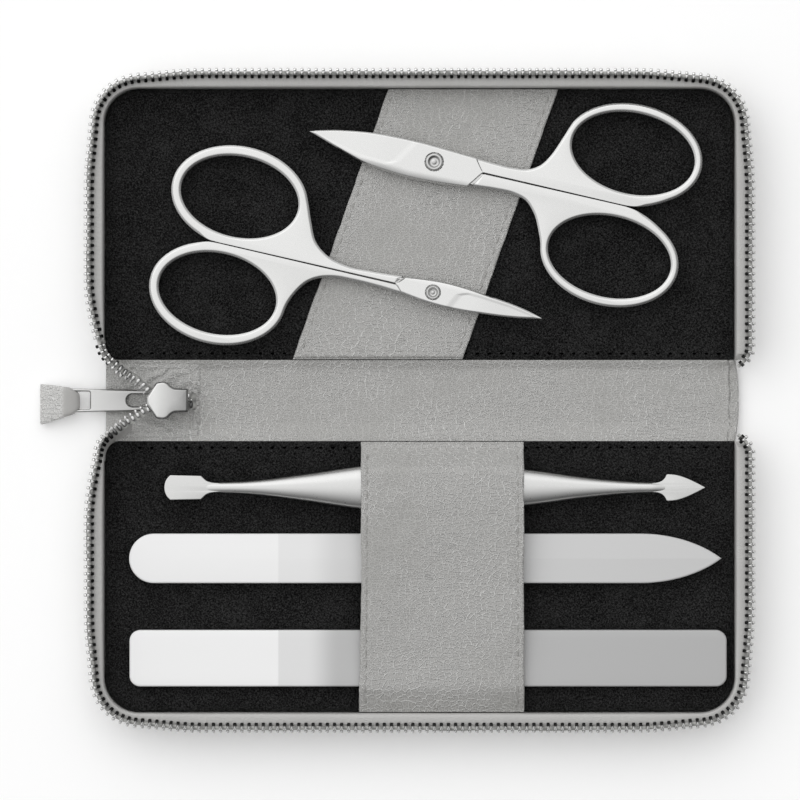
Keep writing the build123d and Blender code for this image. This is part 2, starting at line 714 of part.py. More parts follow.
def under_half(label, pair):
    """Half whose blade lies underneath; its shank steps up outside the other's joint."""
    with BuildPart() as half:
        with BuildSketch(pair_plane(pair, lower_plate)):
            blade_outline(pair, inset=2 * seam_half)
        extrude(amount=plate_thick)
        with BuildSketch(pair_plane(pair, grip_z)):
            grip_outline(pair, -1)
        extrude(amount=lower_plate + plate_thick - grip_z)
        with BuildSketch(pair_plane(pair, lower_plate + plate_thick)):
            grip_outline(pair, -1)
            joint_relief(pair, 3 * seam_half)
        extrude(amount=grip_z + grip_thick - lower_plate - plate_thick)
        with BuildSketch(pair_plane(pair, lower_plate)):
            Circle(screw_shank_radius + screw_fit)
        extrude(amount=plate_thick, mode=Mode.SUBTRACT)
    half.part.label = label
    return half.part


def pivot_screw(label, pair):
    """Screw with a sunk round head and a small socket."""
    with BuildPart() as screw:
        with BuildSketch(pair_plane(pair, lower_plate)):
            Circle(screw_shank_radius)
        extrude(amount=pair_top - lower_plate)
        with BuildSketch(pair_plane(pair, pair_top - screw_head_sink)):
            Circle(screw_head_radius)
        extrude(amount=screw_head_sink + screw_head_proud)
        with BuildSketch(pair_plane(pair, pair_top)):
            Circle(socket_share * screw_head_radius)
        extrude(amount=screw_head_proud, mode=Mode.SUBTRACT)
    screw.part.label = label
    return screw.part


for name, pair in (("nail_scissors", nail), ("cuticle_scissors", cuticle)):
    pieces.append(top_half(name + "_top_half", pair))
    pieces.append(under_half(name + "_under_half", pair))
    pieces.append(pivot_screw(name + "_screw", pair))

for piece in pieces:
    export_step(piece, "parts/" + piece.label + ".step")
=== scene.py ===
# %% [markdown]
# A zip-around manicure case lies open on a table. It holds two pairs of scissors, a cuticle
# pusher and two glass files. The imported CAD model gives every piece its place, so this
# lesson only makes surfaces and finishes, in the CAD model's own frame. All shapes are
# worked out in millimetres with numpy and turned to metres when they become a mesh.

import math

import bmesh
import bpy
import numpy as np
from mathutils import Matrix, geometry


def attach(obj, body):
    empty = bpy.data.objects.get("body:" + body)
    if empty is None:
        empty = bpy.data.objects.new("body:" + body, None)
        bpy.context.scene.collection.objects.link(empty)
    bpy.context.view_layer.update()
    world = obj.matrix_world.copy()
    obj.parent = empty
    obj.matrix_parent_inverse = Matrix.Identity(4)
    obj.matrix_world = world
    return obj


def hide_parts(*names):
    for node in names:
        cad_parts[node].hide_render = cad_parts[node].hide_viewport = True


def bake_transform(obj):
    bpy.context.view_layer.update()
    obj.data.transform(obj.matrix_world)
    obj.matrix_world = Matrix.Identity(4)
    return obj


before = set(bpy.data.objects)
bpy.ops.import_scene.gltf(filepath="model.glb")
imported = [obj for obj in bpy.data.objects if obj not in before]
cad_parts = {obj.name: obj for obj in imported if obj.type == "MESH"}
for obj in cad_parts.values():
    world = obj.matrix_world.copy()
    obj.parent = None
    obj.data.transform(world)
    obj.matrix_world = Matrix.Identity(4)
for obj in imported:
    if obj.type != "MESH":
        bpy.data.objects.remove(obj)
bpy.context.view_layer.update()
MM = 0.001
HALVES = ((-1, "lower"), (1, "upper"))      # side of the spine along Y, name

# %% [markdown]
# The camera looks straight down on the open case. A long lens from over a metre away
# keeps the walls from leaning.

# %% Camera
VIEW_WIDTH = 186.0
LENS = 250.0
SENSOR = 36.0
AIM_X, AIM_Y, AIM_Z = -4.53, 0.12, 5.0
camera_data = bpy.data.cameras.new("camera")
camera_data.lens = LENS
camera_data.sensor_width = SENSOR
camera = bpy.data.objects.new("camera", camera_data)
camera.location = (AIM_X * MM, AIM_Y * MM, (AIM_Z + VIEW_WIDTH * LENS / SENSOR) * MM)
bpy.context.scene.collection.objects.link(camera)
bpy.context.scene.camera = camera
bpy.context.scene.view_settings.view_transform = "Standard"

# %% [markdown]
# Most pieces are piles of rings: a surface is a function of the place along the pile and
# the place round the ring, worked out for all points at once. Faces join each point to its
# neighbours, and a cap on each end closes the solid.

# %% Rings and meshes
def rings_of(x, y, z):
    """Rings from coordinates that are one number, one a row or one a point."""
    return np.stack(np.broadcast_arrays(x, y, z), -1)


def circle(count, start=0.0):
    """Angles evenly spaced round a full turn."""
    return np.arange(count) * 2 * np.pi / count + start


def ring_quads(rows, cols):
    """Faces between rings: point (i, j) with its neighbours at i + 1 and, round the ring,
    j + 1."""
    i, j = np.meshgrid(np.arange(rows - 1), np.arange(cols), indexing="ij")
    right = (j + 1) % cols
    return np.stack([i * cols + j, i * cols + right, (i + 1) * cols + right,
                     (i + 1) * cols + j], -1).reshape(-1, 4)


def tube(rings):
    """Points and faces of a closed solid: rings of points, one after another, and a cap
    on the first and the last."""
    rows, cols = rings.shape[:2]
    caps = [list(range(cols)), list(range((rows - 1) * cols, rows * cols))]
    return rings.reshape(-1, 3), ring_quads(rows, cols).tolist() + caps


def make_piece(name, shape, finish, body=None, hides=(), crease=40):
    """Makes a mesh from a shape's points in mm and its faces, closes its doubles, turns its
    faces outwards and shades it smooth except where faces meet at more than the crease
    angle."""
    points, faces = shape
    mesh = bpy.data.meshes.new(name)
    mesh.from_pydata((np.asarray(points, float).reshape(-1, 3) * MM).tolist(), [],
                     [list(map(int, face)) for face in faces])
    work = bmesh.new()
    work.from_mesh(mesh)
    bmesh.ops.remove_doubles(work, verts=work.verts, dist=2e-7)
    bmesh.ops.recalc_face_normals(work, faces=work.faces)
    work.to_mesh(mesh)
    work.free()
    mesh.shade_smooth()
    mesh.set_sharp_from_angle(angle=math.radians(crease))
    mesh.materials.append(finish)
    made = bpy.data.objects.new(name, mesh)
    bpy.context.scene.collection.objects.link(made)
    if body:
        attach(made, body)
    if hides:
        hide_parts(*hides)
    print(name, len(mesh.polygons), "faces")
    return made


def unit(vectors):
    """Vectors of the same ways, one long."""
    length = np.linalg.norm(vectors, axis=-1, keepdims=True)
    return vectors / np.maximum(length, 1e-9)


def run_length(line):
    """Distance along a line from its start to each of its points."""
    steps = np.linalg.norm(np.diff(line, axis=0), axis=1)
    return np.concatenate([[0], np.cumsum(steps)])


def sample(line, at, where):
    """Points of a line at other places, its own points being at the given ones."""
    return np.stack([np.interp(where, at, column) for column in line.T], 1)


def cubic(start, leave, end, arrive, t):
    """A cubic from start to end with those slopes, t running from 0 to 1."""
    return (start * (2 * t**3 - 3 * t**2 + 1) + leave * (t**3 - 2 * t**2 + t)
            + end * (3 * t**2 - 2 * t**3) + arrive * (t**3 - t**2))


def smooth_line(knots, count):
    """A curve through the knots: between two of them a cubic whose slopes are those of the
    chords past each knot, with equal steps in the knots' own spacing."""
    knots = np.asarray(knots, float)
    at = run_length(knots)
    slope = np.gradient(knots, at, axis=0)
    where = np.linspace(0, at[-1], count)
    k = np.clip(np.searchsorted(at, where, side="right") - 1, 0, len(at) - 2)
    h = np.diff(at)[k][:, None]
    t = (where - at[k])[:, None] / h
    return cubic(knots[k], slope[k] * h, knots[k + 1], slope[k + 1] * h, t)


def ripple(x, y, size, seed):
    """Gentle unevenness from -1 to 1: the mean of five sine waves of about that length, each
    running another way."""
    turn = seed + np.array([0.3, 1.4, 2.2, 2.9, 4.1])
    stretch = np.array([1.0, 1.31, 0.77, 1.63, 1.12]) * 2 * np.pi / size
    total = sum(np.sin(s * (x * np.cos(a) + y * np.sin(a)) + 5 * a)
                for a, s in zip(turn, stretch))
    return total / 3.2


def ease(x, start, end):
    """0 before start, 1 after end and a smooth step between them."""
    t = np.clip((x - start) / (end - start), 0, 1)
    return t * t * (3 - 2 * t)


def hump(x, centre, width):
    """A bell that is 1 at the centre and falls to 0.37 one width away."""
    return np.exp(-((x - centre) / width) ** 2)


# %% [markdown]
# Finishes are node materials. Each starts from the real material, and every pattern is
# sized in millimetres on Object coordinates, which stay with the piece in every view.

# %% Colours and nodes
def colour(code):
    """Turns an sRGB hex code to linear red, green and blue."""
    value = np.array([int(code[i:i + 2], 16) for i in (1, 3, 5)]) / 255
    linear = np.where(value <= 0.04045, value / 12.92, ((value + 0.055) / 1.055) ** 2.4)
    return (*map(float, linear), 1.0)


def fill(socket, value):
    """Links an input to an output, or gives it a number, a vector or a hex colour."""
    if isinstance(value, bpy.types.NodeSocket):
        socket.id_data.links.new(value, socket)
    else:
        socket.default_value = colour(value) if isinstance(value, str) else value


def add(tree, kind, inputs=(), read=None, **settings):
    """Adds a node with its settings and fills its inputs, which are given by name or in
    order. Returns its output of the name in read, or else the first that is in use."""
    node = tree.nodes.new("ShaderNode" + kind)
    for key, value in settings.items():
        setattr(node, key, value)
    for key, value in inputs.items() if isinstance(inputs, dict) else enumerate(inputs):
        fill(node.inputs[key], value)
    return node.outputs[read] if read else next(out for out in node.outputs if out.enabled)


def start_finish(name, **inputs):
    """A new material with a Principled shader, and its tree, its shader's inputs and its
    coordinates."""
    made = bpy.data.materials.new(name)
    made.use_nodes = True
    tree = made.node_tree
    shader = tree.nodes["Principled BSDF"].inputs
    for key, value in inputs.items():
        fill(shader[key.replace("_", " ")], value)
    print("finish:", name)
    return made, tree, shader, add(tree, "TexCoord", read="Object")


def per_mm(size):
    """Texture scale for a pattern of that size in mm."""
    return 1 / (size * MM)


def across_x(tree, place, start, end, kind="LINEAR"):
    """A ramp on the piece: 0 at one X in mm, 1 at the other."""
    return add(tree, "MapRange", {"Value": add(tree, "SeparateXYZ", (place,), "X"),
                                  "From Min": start * MM, "From Max": end * MM},
               interpolation_type=kind)


# %% [markdown]
# The case is cow leather, drum dyed and finished with a thin grey pigment coat. Grain
# leather shows a net of fine lines round small pebbles, stronger where the skin was
# creased. Two flat Voronoi nets, bent by noise and faded in and out in patches, give the
# lines; they are drawn lighter than the ground. Being flat,
# the nets have lines of one width everywhere, and leaning the coordinates with the height
# keeps them from smearing on upright leather. The real pebbles are about 0.4 mm; they are
# drawn at 0.55 mm so that they show.

# %% Leather
CREASE_SIZE, PEBBLE_SIZE, PATCH_SIZE = 1.1, 0.55, 18.0
LEAN, SQUEEZE = (0.4, -0.4, 0.0), (0.72, 1.2, 1.0)


def net_lines(tree, place, size, widest):
    """A flat net of cells of that size in mm: 1 on their borders, 0 further in."""
    away = add(tree, "TexVoronoi", {"Vector": place, "Scale": per_mm(size)},
               feature="DISTANCE_TO_EDGE", voronoi_dimensions="2D")
    return add(tree, "MapRange", {"Value": away, "From Min": 0.0, "From Max": widest,
                                  "To Min": 1.0, "To Max": 0.0},
               interpolation_type="SMOOTHSTEP")


def leather(name, ground, line, deep, net=1.0, pebbly=0.3, bare=None):
    """net is the strength of the creases and pebbly that of the pebbles between them. bare
    gives a tone without grain and the X where it ends and the grain is back."""
    made, tree, shader, place = start_finish(
        name, Roughness=0.5, IOR=1.5, Specular_IOR_Level=0.4, Sheen_Weight=0.05,
        Sheen_Roughness=0.5)
    lean = add(tree, "VectorMath", {0: LEAN, "Scale": add(tree, "SeparateXYZ", (place,),
                                                          "Z")}, operation="SCALE")
    leaning = add(tree, "VectorMath", (place, lean), operation="ADD")
    bend = add(tree, "TexNoise", {"Vector": place, "Scale": per_mm(2.2), "Detail": 1.0},
               "Color")
    bend = add(tree, "VectorMath", (bend, (0.5, 0.5, 0.5)), operation="SUBTRACT")
    bend = add(tree, "VectorMath", {0: bend, "Scale": 0.5 * MM}, operation="SCALE")
    bent = add(tree, "VectorMath", (leaning, bend), operation="ADD")
    swirl = add(tree, "TexNoise", {"Vector": place, "Scale": per_mm(26.0), "Detail": 0.0},
                "Color")
    swirl = add(tree, "VectorMath", {0: swirl, "Scale": 6 * MM}, operation="SCALE")
    swirled = add(tree, "VectorMath", (bent, swirl), operation="ADD")
    swirled = add(tree, "VectorMath", (swirled, SQUEEZE), operation="MULTIPLY")
    crease = net_lines(tree, swirled, CREASE_SIZE, 0.14)
    pebble = net_lines(tree, bent, PEBBLE_SIZE, 0.3)
    patches = add(tree, "TexNoise", {"Vector": place, "Scale": per_mm(PATCH_SIZE),
                                     "Detail": 2.0, "Roughness": 0.6})
    patch = add(tree, "MapRange", {"Value": patches, "From Min": 0.36, "From Max": 0.6,
                                   "To Min": 0.25}, interpolation_type="SMOOTHSTEP")
    faded = add(tree, "Math", (crease, patch), operation="MULTIPLY")
    grain = add(tree, "Math", (pebble, pebbly, faded), operation="MULTIPLY_ADD")
    cloudy = add(tree, "TexNoise", {"Vector": place, "Scale": per_mm(3.0), "Detail": 5.0,
                                    "Roughness": 0.65})
    light = add(tree, "Math", (patch, 0.5), operation="MULTIPLY")
    light = add(tree, "Math", (cloudy, 0.5, light), operation="MULTIPLY_ADD")
    tone = add(tree, "Mix", {"Factor": light, "A": deep, "B": ground}, data_type="RGBA")
    if bare:
        grained = across_x(tree, place, *bare[1:])
        grain = add(tree, "Math", (grain, grained), operation="MULTIPLY")
        tone = add(tree, "Mix", {"Factor": grained, "A": bare[0], "B": tone},
                   data_type="RGBA")
    share = add(tree, "Math", (grain, 0.85 * net), operation="MULTIPLY", use_clamp=True)
    fill(shader["Base Color"], add(tree, "Mix", {"Factor": share, "A": tone, "B": line},
                                   data_type="RGBA"))
    fill(shader["Normal"], add(tree, "Bump", {"Height": grain, "Distance": 0.2 * MM,
                                              "Strength": min(1.0, 0.95 * net)}))
    return made


grey_leather = leather("pigmented_grain_leather", "#afaeac", "#dededc", "#949390")
# A lighter copy of the same grey leather, with less grain, for the walls and gussets: painted
# light that makes up for the shade falling on them.
lightened_leather = leather("leather_lightened_for_shade", "#bebdbb", "#c9c9c7", "#b4b3b1", net=0.35)
tab_leather = leather("coarse_grain_leather", "#cbcac8", "#eeeeec", "#b9b8b6", net=1.3,
                      pebbly=0.5, bare=("#aeadab", -82.7, -83.5))
patch_leather = leather("gathered_leather", "#b2b1af", "#e0e0de", "#a3a2a0", pebbly=0.55)

# %% [markdown]
# The lining is suede: the flesh side of a skin, sanded to a short nap. It is nearly black,
# has no gloss, and looks cloudy where the nap was brushed another way.

# %% Suede
suede, tree, shader, place = start_finish(
    "napped_black_suede", Roughness=0.95, Specular_IOR_Level=0.08, Sheen_Weight=0.03,
    Sheen_Roughness=0.6)
nap = add(tree, "TexNoise", {"Vector": place, "Scale": per_mm(0.36), "Detail": 3.0,
                             "Roughness": 0.7, "Distortion": 0.8})
brushed = add(tree, "TexNoise", {"Vector": place, "Scale": per_mm(6.0), "Detail": 4.0})
lit = add(tree, "Math", (brushed, 0.12, nap), operation="MULTIPLY_ADD")
lit = add(tree, "MapRange", {"Value": lit, "From Min": 0.49, "From Max": 0.71})
fill(shader["Base Color"], add(tree, "Mix", {"Factor": lit, "A": "#010101",
                                             "B": "#383838"}, data_type="RGBA"))
fill(shader["Normal"], add(tree, "Bump", {"Height": nap, "Distance": 0.25 * MM,
                                          "Strength": 0.8}))

# %% [markdown]
# Scissors and pusher are hardened stainless steel with a satin finish, which is ground and
# then tumbled: it has no single direction, only a fine frost that blurs what it reflects.
# The frost's grain is drawn at 0.5 mm, coarser than the real one, so that it can be seen.

# %% Satin steel
FROST = 0.03


def steel(name, code, rough, grain=0.5, painted_shade_ramp=None):
    """The last argument gives a second, darker tone that the base colour is painted towards
    along X, as painted shade and reflection, and the X where the first ends and the second
    begins.
    """
    made, tree, shader, place = start_finish(name, Metallic=1.0, Base_Color=code)
    if painted_shade_ramp:
        share = across_x(tree, place, *painted_shade_ramp[1:])
        fill(shader["Base Color"], add(tree, "Mix", {"Factor": share, "A": code,
                                                     "B": painted_shade_ramp[0]}, data_type="RGBA"))
    speck = add(tree, "TexNoise", {"Vector": place, "Scale": per_mm(grain), "Detail": 3.0})
    blur = {"From Min": 0.3, "From Max": 0.7, "To Min": rough - FROST,
            "To Max": rough + FROST}
    fill(shader["Roughness"], add(tree, "MapRange", {"Value": speck, **blur}))
    fill(shader["Normal"], add(tree, "Bump", {"Height": speck, "Distance": 0.002 * MM,
                                              "Strength": 0.3}))
    return made


satin_steel = steel("satin_stainless_steel", "#d4d4d3", 0.28)
forged_steel = steel("tumbled_stainless_steel", "#c9c9c8", 0.3)
screw_steel = steel("turned_stainless_steel", "#bcbcbb", 0.16)
# the slider is painted darker towards its tail, from X -61.5 to -54.5: painted shade and
# reflection
slider_nickel = steel("nickel_plated_zinc", "#cececd", 0.2, grain=1.2,
                      painted_shade_ramp=("#939392", -61.5, -54.5))
# the link is painted darker towards the slider, from X -78 to -62: painted shade
link_nickel = steel("nickel_plated_steel", "#c6c6c5", 0.2, grain=1.2,
                    painted_shade_ramp=("#9b9b9a", -78.0, -62.0))

# %% [markdown]
# Zip teeth are the same plated metal, with painted shade and highlight. A number stored on
# the mesh, 0 at a tooth's foot and 1 on its head, paints shade at the foot and a highlight on
# the head. The tape between them is woven polyester, and the seams are sewn with bonded
# nylon.

# %% Zip metal, tape and thread
tooth_metal, tree, shader, _ = start_finish("nickel_plated_teeth", Metallic=1.0,
                                            Roughness=0.2)
# the stored number paints shade at the feet and a highlight on the head
painted_light = add(tree, "Attribute", read="Fac", attribute_name="painted_light")
fill(shader["Base Color"], add(tree, "Mix", {"Factor": painted_light, "A": "#1b1b1b",
                                             "B": "#e4e4e3"}, data_type="RGBA"))

zip_cloth, tree, shader, place = start_finish("woven_polyester_tape", Roughness=0.85)
weave = add(tree, "TexWave", {"Vector": place, "Scale": per_mm(3.5), "Distortion": 1.5,
                              "Detail": 1.0}, "Fac", bands_direction="DIAGONAL")
fill(shader["Base Color"], add(tree, "Mix", {"Factor": weave, "A": "#8c8c8a",
                                             "B": "#bcbcb9"}, data_type="RGBA"))
fill(shader["Normal"], add(tree, "Bump", {"Height": weave, "Distance": 0.08 * MM}))


def thread(name, code, gloss=0.5):
    """Bonded nylon thread: a little gloss and a fine twist."""
    made, tree, shader, place = start_finish(name, Roughness=1 - gloss,
                                             Specular_IOR_Level=gloss, Base_Color=code)
    twist = add(tree, "TexWave", {"Vector": place, "Scale": per_mm(4.0)}, "Fac",
                bands_direction="DIAGONAL")
    fill(shader["Normal"], add(tree, "Bump", {"Height": twist, "Distance": 0.05 * MM}))
    return made


grey_thread = thread("grey_nylon_thread", "#9d9c99")
black_thread = thread("black_nylon_thread", "#010101", 0.0)

# %% [markdown]
# The files are tempered glass. Their handles are coated white; the rest is etched, which
# makes glass grey and matt with a fine sandy grit. Both are opaque here, as the black
# lining behind hardly shows through them.

# %% File glass
COAT_END, FIELD_START, FIELD_FULL, FILE_END = -32.8, -26.5, -18.5, 71.0


def file_glass(name, fine, coarse, end):
    """White coat left of its end, then finely etched glass, then coarser etching from where
    the abrasive field begins; end is the tone at the right end."""
    made, tree, shader, place = start_finish(name, IOR=1.52, Coat_Weight=0.1)
    etched, field, far = (
        across_x(tree, place, low, high, "SMOOTHSTEP")
        for low, high in ((COAT_END - 0.15, COAT_END + 0.15), (FIELD_START, FIELD_FULL),
                          (FIELD_FULL, FILE_END)))
    tone = end
    for factor, code in ((far, coarse), (field, fine), (etched, "#f2f2f2")):
        tone = add(tree, "Mix", {"Factor": factor, "A": code, "B": tone}, data_type="RGBA")
    grit = add(tree, "TexNoise", {"Vector": place, "Scale": per_mm(0.45), "Detail": 3.0})
    height = add(tree, "Math", (grit, etched), operation="MULTIPLY")
    fill(shader["Base Color"], tone)
    fill(shader["Roughness"], add(tree, "MapRange", {"Value": etched, "To Min": 0.3,
                                                     "To Max": 0.6}))
    fill(shader["Normal"], add(tree, "Bump", {"Height": height, "Distance": 0.02 * MM,
                                              "Strength": 0.6}))
    return made


pointed_glass = file_glass("etched_glass_pointed", "#e9e9e9", "#d7d7d7", "#cccccc")
straight_glass = file_glass("etched_glass_straight", "#e1e1e1", "#bababa", "#b5b5b5")

# %% [markdown]
# Inside, the leather is stiffened with grey board, made of pressed fibres. It only shows as
# a thin line. The magnets are sintered ferrite, dark and matt. These pieces keep their CAD
# shapes and only get a finish.

# %% Board and magnets
def plain(name, light, dark, rough, size):
    """A matt material, cloudy at one size."""
    made, tree, shader, place = start_finish(name, Roughness=rough)
    cloud = add(tree, "TexNoise", {"Vector": place, "Scale": per_mm(size), "Detail": 4.0})
    fill(shader["Base Color"], add(tree, "Mix", {"Factor": cloud, "A": dark, "B": light},
                                   data_type="RGBA"))
    return made


grey_board = plain("pressed_fibre_board", "#8c8a85", "#6f6d69", 0.9, 1.0)
ferrite = plain("sintered_ferrite", "#3a3a3b", "#262627", 0.6, 0.6)
for node, finish in (("lower_board", grey_board), ("upper_board", grey_board),
                     ("scissor_magnets", ferrite)):
    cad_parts[node].data.materials.clear()
    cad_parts[node].data.materials.append(finish)

# %% [markdown]
# The rim of a half is one U-shaped line: up one end, round two corners and down the other.
# Wall, tape and teeth all follow it, each at its own distance outside the lining. Near the
# spine the real wall is pulled inwards a little, so the line is pinched there.

# %% The rim line
HALF_LENGTH = 73.15
NEAR_Y, FAR_Y = 9.5, 72.4
CORNER = 8.0
FOLD_Y, FOLD_Z = 9.2, 1.2
FLOOR_Z = 3.2
CHAIN_OUT = 3.45
CORNER_CUT = 1.3


def rim(left_start, right_start, spacing, out=0.0):
    """Points and outward normals of the rim, spaced evenly along the line that lies out mm
    outside the lining: straight, quarter circle, straight, quarter circle, straight."""
    turn = np.linspace(0, np.pi / 2, 60)
    x_mid, y_mid = HALF_LENGTH - CORNER, FAR_Y - CORNER
    up = np.linspace(left_start, y_mid, 200)
    across = np.linspace(-x_mid, x_mid, 400)
    down = np.linspace(y_mid, right_start, 200)
    base = np.concatenate([
        np.stack([np.full(200, -HALF_LENGTH), up], 1),
        np.stack([-x_mid - CORNER * np.cos(turn), y_mid + CORNER * np.sin(turn)], 1),
        np.stack([across, np.full(400, FAR_Y)], 1),
        np.stack([x_mid + CORNER * np.sin(turn), y_mid + CORNER * np.cos(turn)], 1),
        np.stack([np.full(200, HALF_LENGTH), down], 1)])
    normal = np.concatenate([
        np.tile([-1.0, 0.0], (200, 1)), np.stack([-np.cos(turn), np.sin(turn)], 1),
        np.tile([0.0, 1.0], (400, 1)), np.stack([np.sin(turn), np.cos(turn)], 1),
        np.tile([1.0, 0.0], (200, 1))])
    along = run_length(base + normal * out)
    at = np.linspace(0, along[-1], int(along[-1] / spacing))
    return sample(base, along, at), unit(sample(normal, along, at))


def pinch(points, share=1.0):
    """Pulls points near the spine inwards along X: the left end smoothly from 27 mm out,
    the right end only where the chain curls in over its last 4 mm. At the corners it pulls
    them towards the corner's centre. share lessens it."""
    x, y = points[..., 0], points[..., 1]
    share = share * ease(points[..., 2], 2.0, 8.5)
    out_x = np.maximum(np.abs(x) - (HALF_LENGTH - CORNER), 0) * np.sign(x)
    out_y = np.maximum(np.abs(y) - (FAR_Y - CORNER), 0) * np.sign(y)
    reach = np.maximum(np.hypot(out_x, out_y), 1e-6)
    cut = CORNER_CUT * ease(np.abs(x), 50.0, 70.0) * ease(np.abs(y), 49.0, 69.0) * share
    most = np.where(y > 0, 3.3, 2.6)
    left = most * (np.clip(27 - np.abs(y), 0, 18) / 16) ** 1.6
    right = 0.15 * np.clip(12.2 - np.abs(y), 0, 4.3) ** 2
    out = points.copy()
    out[..., 0] -= np.sign(x) * np.where(x < 0, left, right) * share + cut * out_x / reach
    out[..., 1] -= cut * out_y / reach
    return out


def carry(profile, base, normal, side):
    """Carries a closed profile of (outward distance, height) along the rim."""
    flat = base[:, None, :] + normal[:, None, :] * profile[..., 0:1]
    return rings_of(flat[..., 0], flat[..., 1] * side, profile[..., 1])


# %% [markdown]
# The wall of a soft case is the cover's own leather, turned up round the board's edge and
# leaning out to meet the zip. Its profile is a thin closed band: round at the foot, nearly
# straight up the side, and rolled over a thin pad at the top. It is carried along the rim
# and sinks towards the spine, where the real leather folds down into the back of the case.

# %% Walls
wall_profile = smooth_line([
    (-0.9, 0.0), (0.3, 0.0), (0.95, 0.12), (1.35, 0.7), (1.62, 1.6), (2.7, 4.5),
    (3.75, 7.3), (4.02, 8.1), (3.92, 8.45), (3.45, 8.62), (2.8, 8.68), (1.9, 8.7),
    (1.1, 8.68), (0.6, 8.6), (0.34, 8.3), (0.28, 7.6), (0.26, 5.0), (0.25, 2.6),
    (0.05, 1.35), (-0.9, 1.2)], 76)
WALL_START = 9.45
WALL_FOOT = 1.2

base, normal = rim(WALL_START, WALL_START, 0.7)
near, left = base[:, 1], base[:, 0] < 0
sink = 0.16 + 0.84 * np.where(left, ease(near, 9.0, 14.2), ease(near, 8.3, 10.6))
slim = np.where(left, 0.1 + 0.9 * ease(near, 9.0, 15.0), 0.35 + 0.65 * sink)
lean = 1 + 0.06 * ripple(base[:, 0], base[:, 1], 23.0, 1.0)
wide, tall = np.tile(wall_profile, (len(base), 1, 1)).transpose(2, 0, 1)
tall = np.where(tall > WALL_FOOT, WALL_FOOT + (tall - WALL_FOOT) * sink[:, None], tall)
wide = np.where(tall > 2.0, wide * lean[:, None], wide) * slim[:, None]
share = np.clip(wide / CHAIN_OUT, 0.1, 1.0)
for side, half in HALVES:
    rings = pinch(carry(np.stack([wide, tall], -1), base, normal, side), share)
    # the walls get the lighter copy of the leather: painted light against their shade
    make_piece(half + "_wall_leather", tube(rings), lightened_leather,
               half + "_half", [half + "_zip_wall"])

# %% [markdown]
# One skin covers both halves and the spine, so no seam may show where the case folds. A
# piece can bend across one hinge only, so the skin is made as two sheets that meet edge to
# edge in the middle of the spine. A sheet is a pile of
# closed rings, one for each Y: along the top, round the edge, back underneath. The rings
# lie close together where the leather bends.

# %% Outer cover and spine leather
COVER_TOP = 1.2


def ring_across(left, right, bottom, top, share=np.linspace(0, 1, 90), edge=8):
    """Closed rings in XZ for each row: top from left to right, half a circle down, bottom
    back, half a circle up. left, right and bottom have one value a row; top has one a row
    or one a point, and share says how far across each point is."""
    left, right, bottom = (np.asarray(v, float)[:, None] for v in (left, right, bottom))
    top = np.asarray(top, float)
    top = top[:, None] if top.ndim == 1 else top
    radius = (top[:, -1:] - bottom) / 2
    x_top = left + radius + (right - left - 2 * radius) * share[None]
    z_top = np.broadcast_to(top if top.shape[1] == len(share) else top[:, :1], x_top.shape)
    turn = np.linspace(0, np.pi, edge + 2)[None, 1:-1]
    x_right = right - radius + radius * np.sin(turn)
    z_right = (z_top[:, -1:] + bottom) / 2 + (z_top[:, -1:] - bottom) / 2 * np.cos(turn)
    x_left = left + radius - radius * np.sin(turn)
    z_left = (z_top[:, :1] + bottom) / 2 - (z_top[:, :1] - bottom) / 2 * np.cos(turn)
    return (np.concatenate([x_top, x_right, x_top[:, ::-1], x_left], 1),
            np.concatenate([z_top, z_right, np.broadcast_to(bottom, x_top.shape), z_left],
                           1))


def bend_at_fold(piece, side, inner, outer, height=FOLD_Z):
    """Bakes a piece's placement into its mesh. The points inner and outer mm off the middle
    at the given height are worked out but not used; the piece is not bent.
    """
    near, far = ((0, side * y * MM, height * MM) for y in (inner, outer))
    if side > 0:
        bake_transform(piece)
        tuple(near)
        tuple(far)
    else:
        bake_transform(piece)
        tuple(far)
        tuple(near)


def fold_skin(name, side, rows, left, right, bottom, top, fold, finish, hides, **across):
    """Half of a leather that covers the spine: one ring for each distance in rows. It is
    not bent; bend_at_fold only bakes its placement."""
    x, z = ring_across(left, right, np.full(len(rows), bottom), top, **across)
    shape = tube(rings_of(x, side * rows[:, None], z))
    bend_at_fold(make_piece(name, shape, finish, hides=hides), side, *fold)


def spine_end(y):
    """X of the spine's right end: it bulges out in the middle."""
    return 73.6 + 0.85 * (1 - np.clip(np.abs(y) / FOLD_Y, 0, 1) ** 2.5)


corner_turn = np.sin(np.linspace(0.1, 1.55, 14))
cover_rows = np.concatenate([np.linspace(0, 7.6, 12), np.linspace(8.0, 10.6, 14),
                             np.linspace(11.5, 64.0, 20),
                             FAR_Y - CORNER + (CORNER + 0.9) * corner_turn])
past = np.maximum(0, cover_rows - (FAR_Y - CORNER))
corner_in = CORNER + 0.3 - np.sqrt(np.maximum(0, (CORNER + 0.3) ** 2 - past ** 2))
in_spine = 1 - ease(cover_rows, 9.0, 9.6)
reach = (HALF_LENGTH + 0.3 - corner_in) * (1 - in_spine)
for side, half in HALVES:
    fold_skin(half + "_cover_leather", side, cover_rows, -reach - HALF_LENGTH * in_spine,
              reach + spine_end(cover_rows) * in_spine, 0.0,
              np.full(len(cover_rows), COVER_TOP), (8.0, 10.4), grey_leather,
              [half + "_cover"] + (["spine_cover"] if side < 0 else []))

# %% [markdown]
# A second strip of leather faces the inside of the spine. It is glued flat in the middle
# and rises at each side to meet the edge of the board and lining. Towards its ends it has
# the shallow pulls and puckers of leather that has been folded many times.

# %% Inside of the spine
FACING_TOP = 1.98
facing_rows = np.concatenate([np.linspace(0, 6.6, 20), np.linspace(6.9, 9.44, 14)])
facing_x = np.concatenate([np.linspace(0, 0.96, 120), np.linspace(0.9612, 1, 50)])


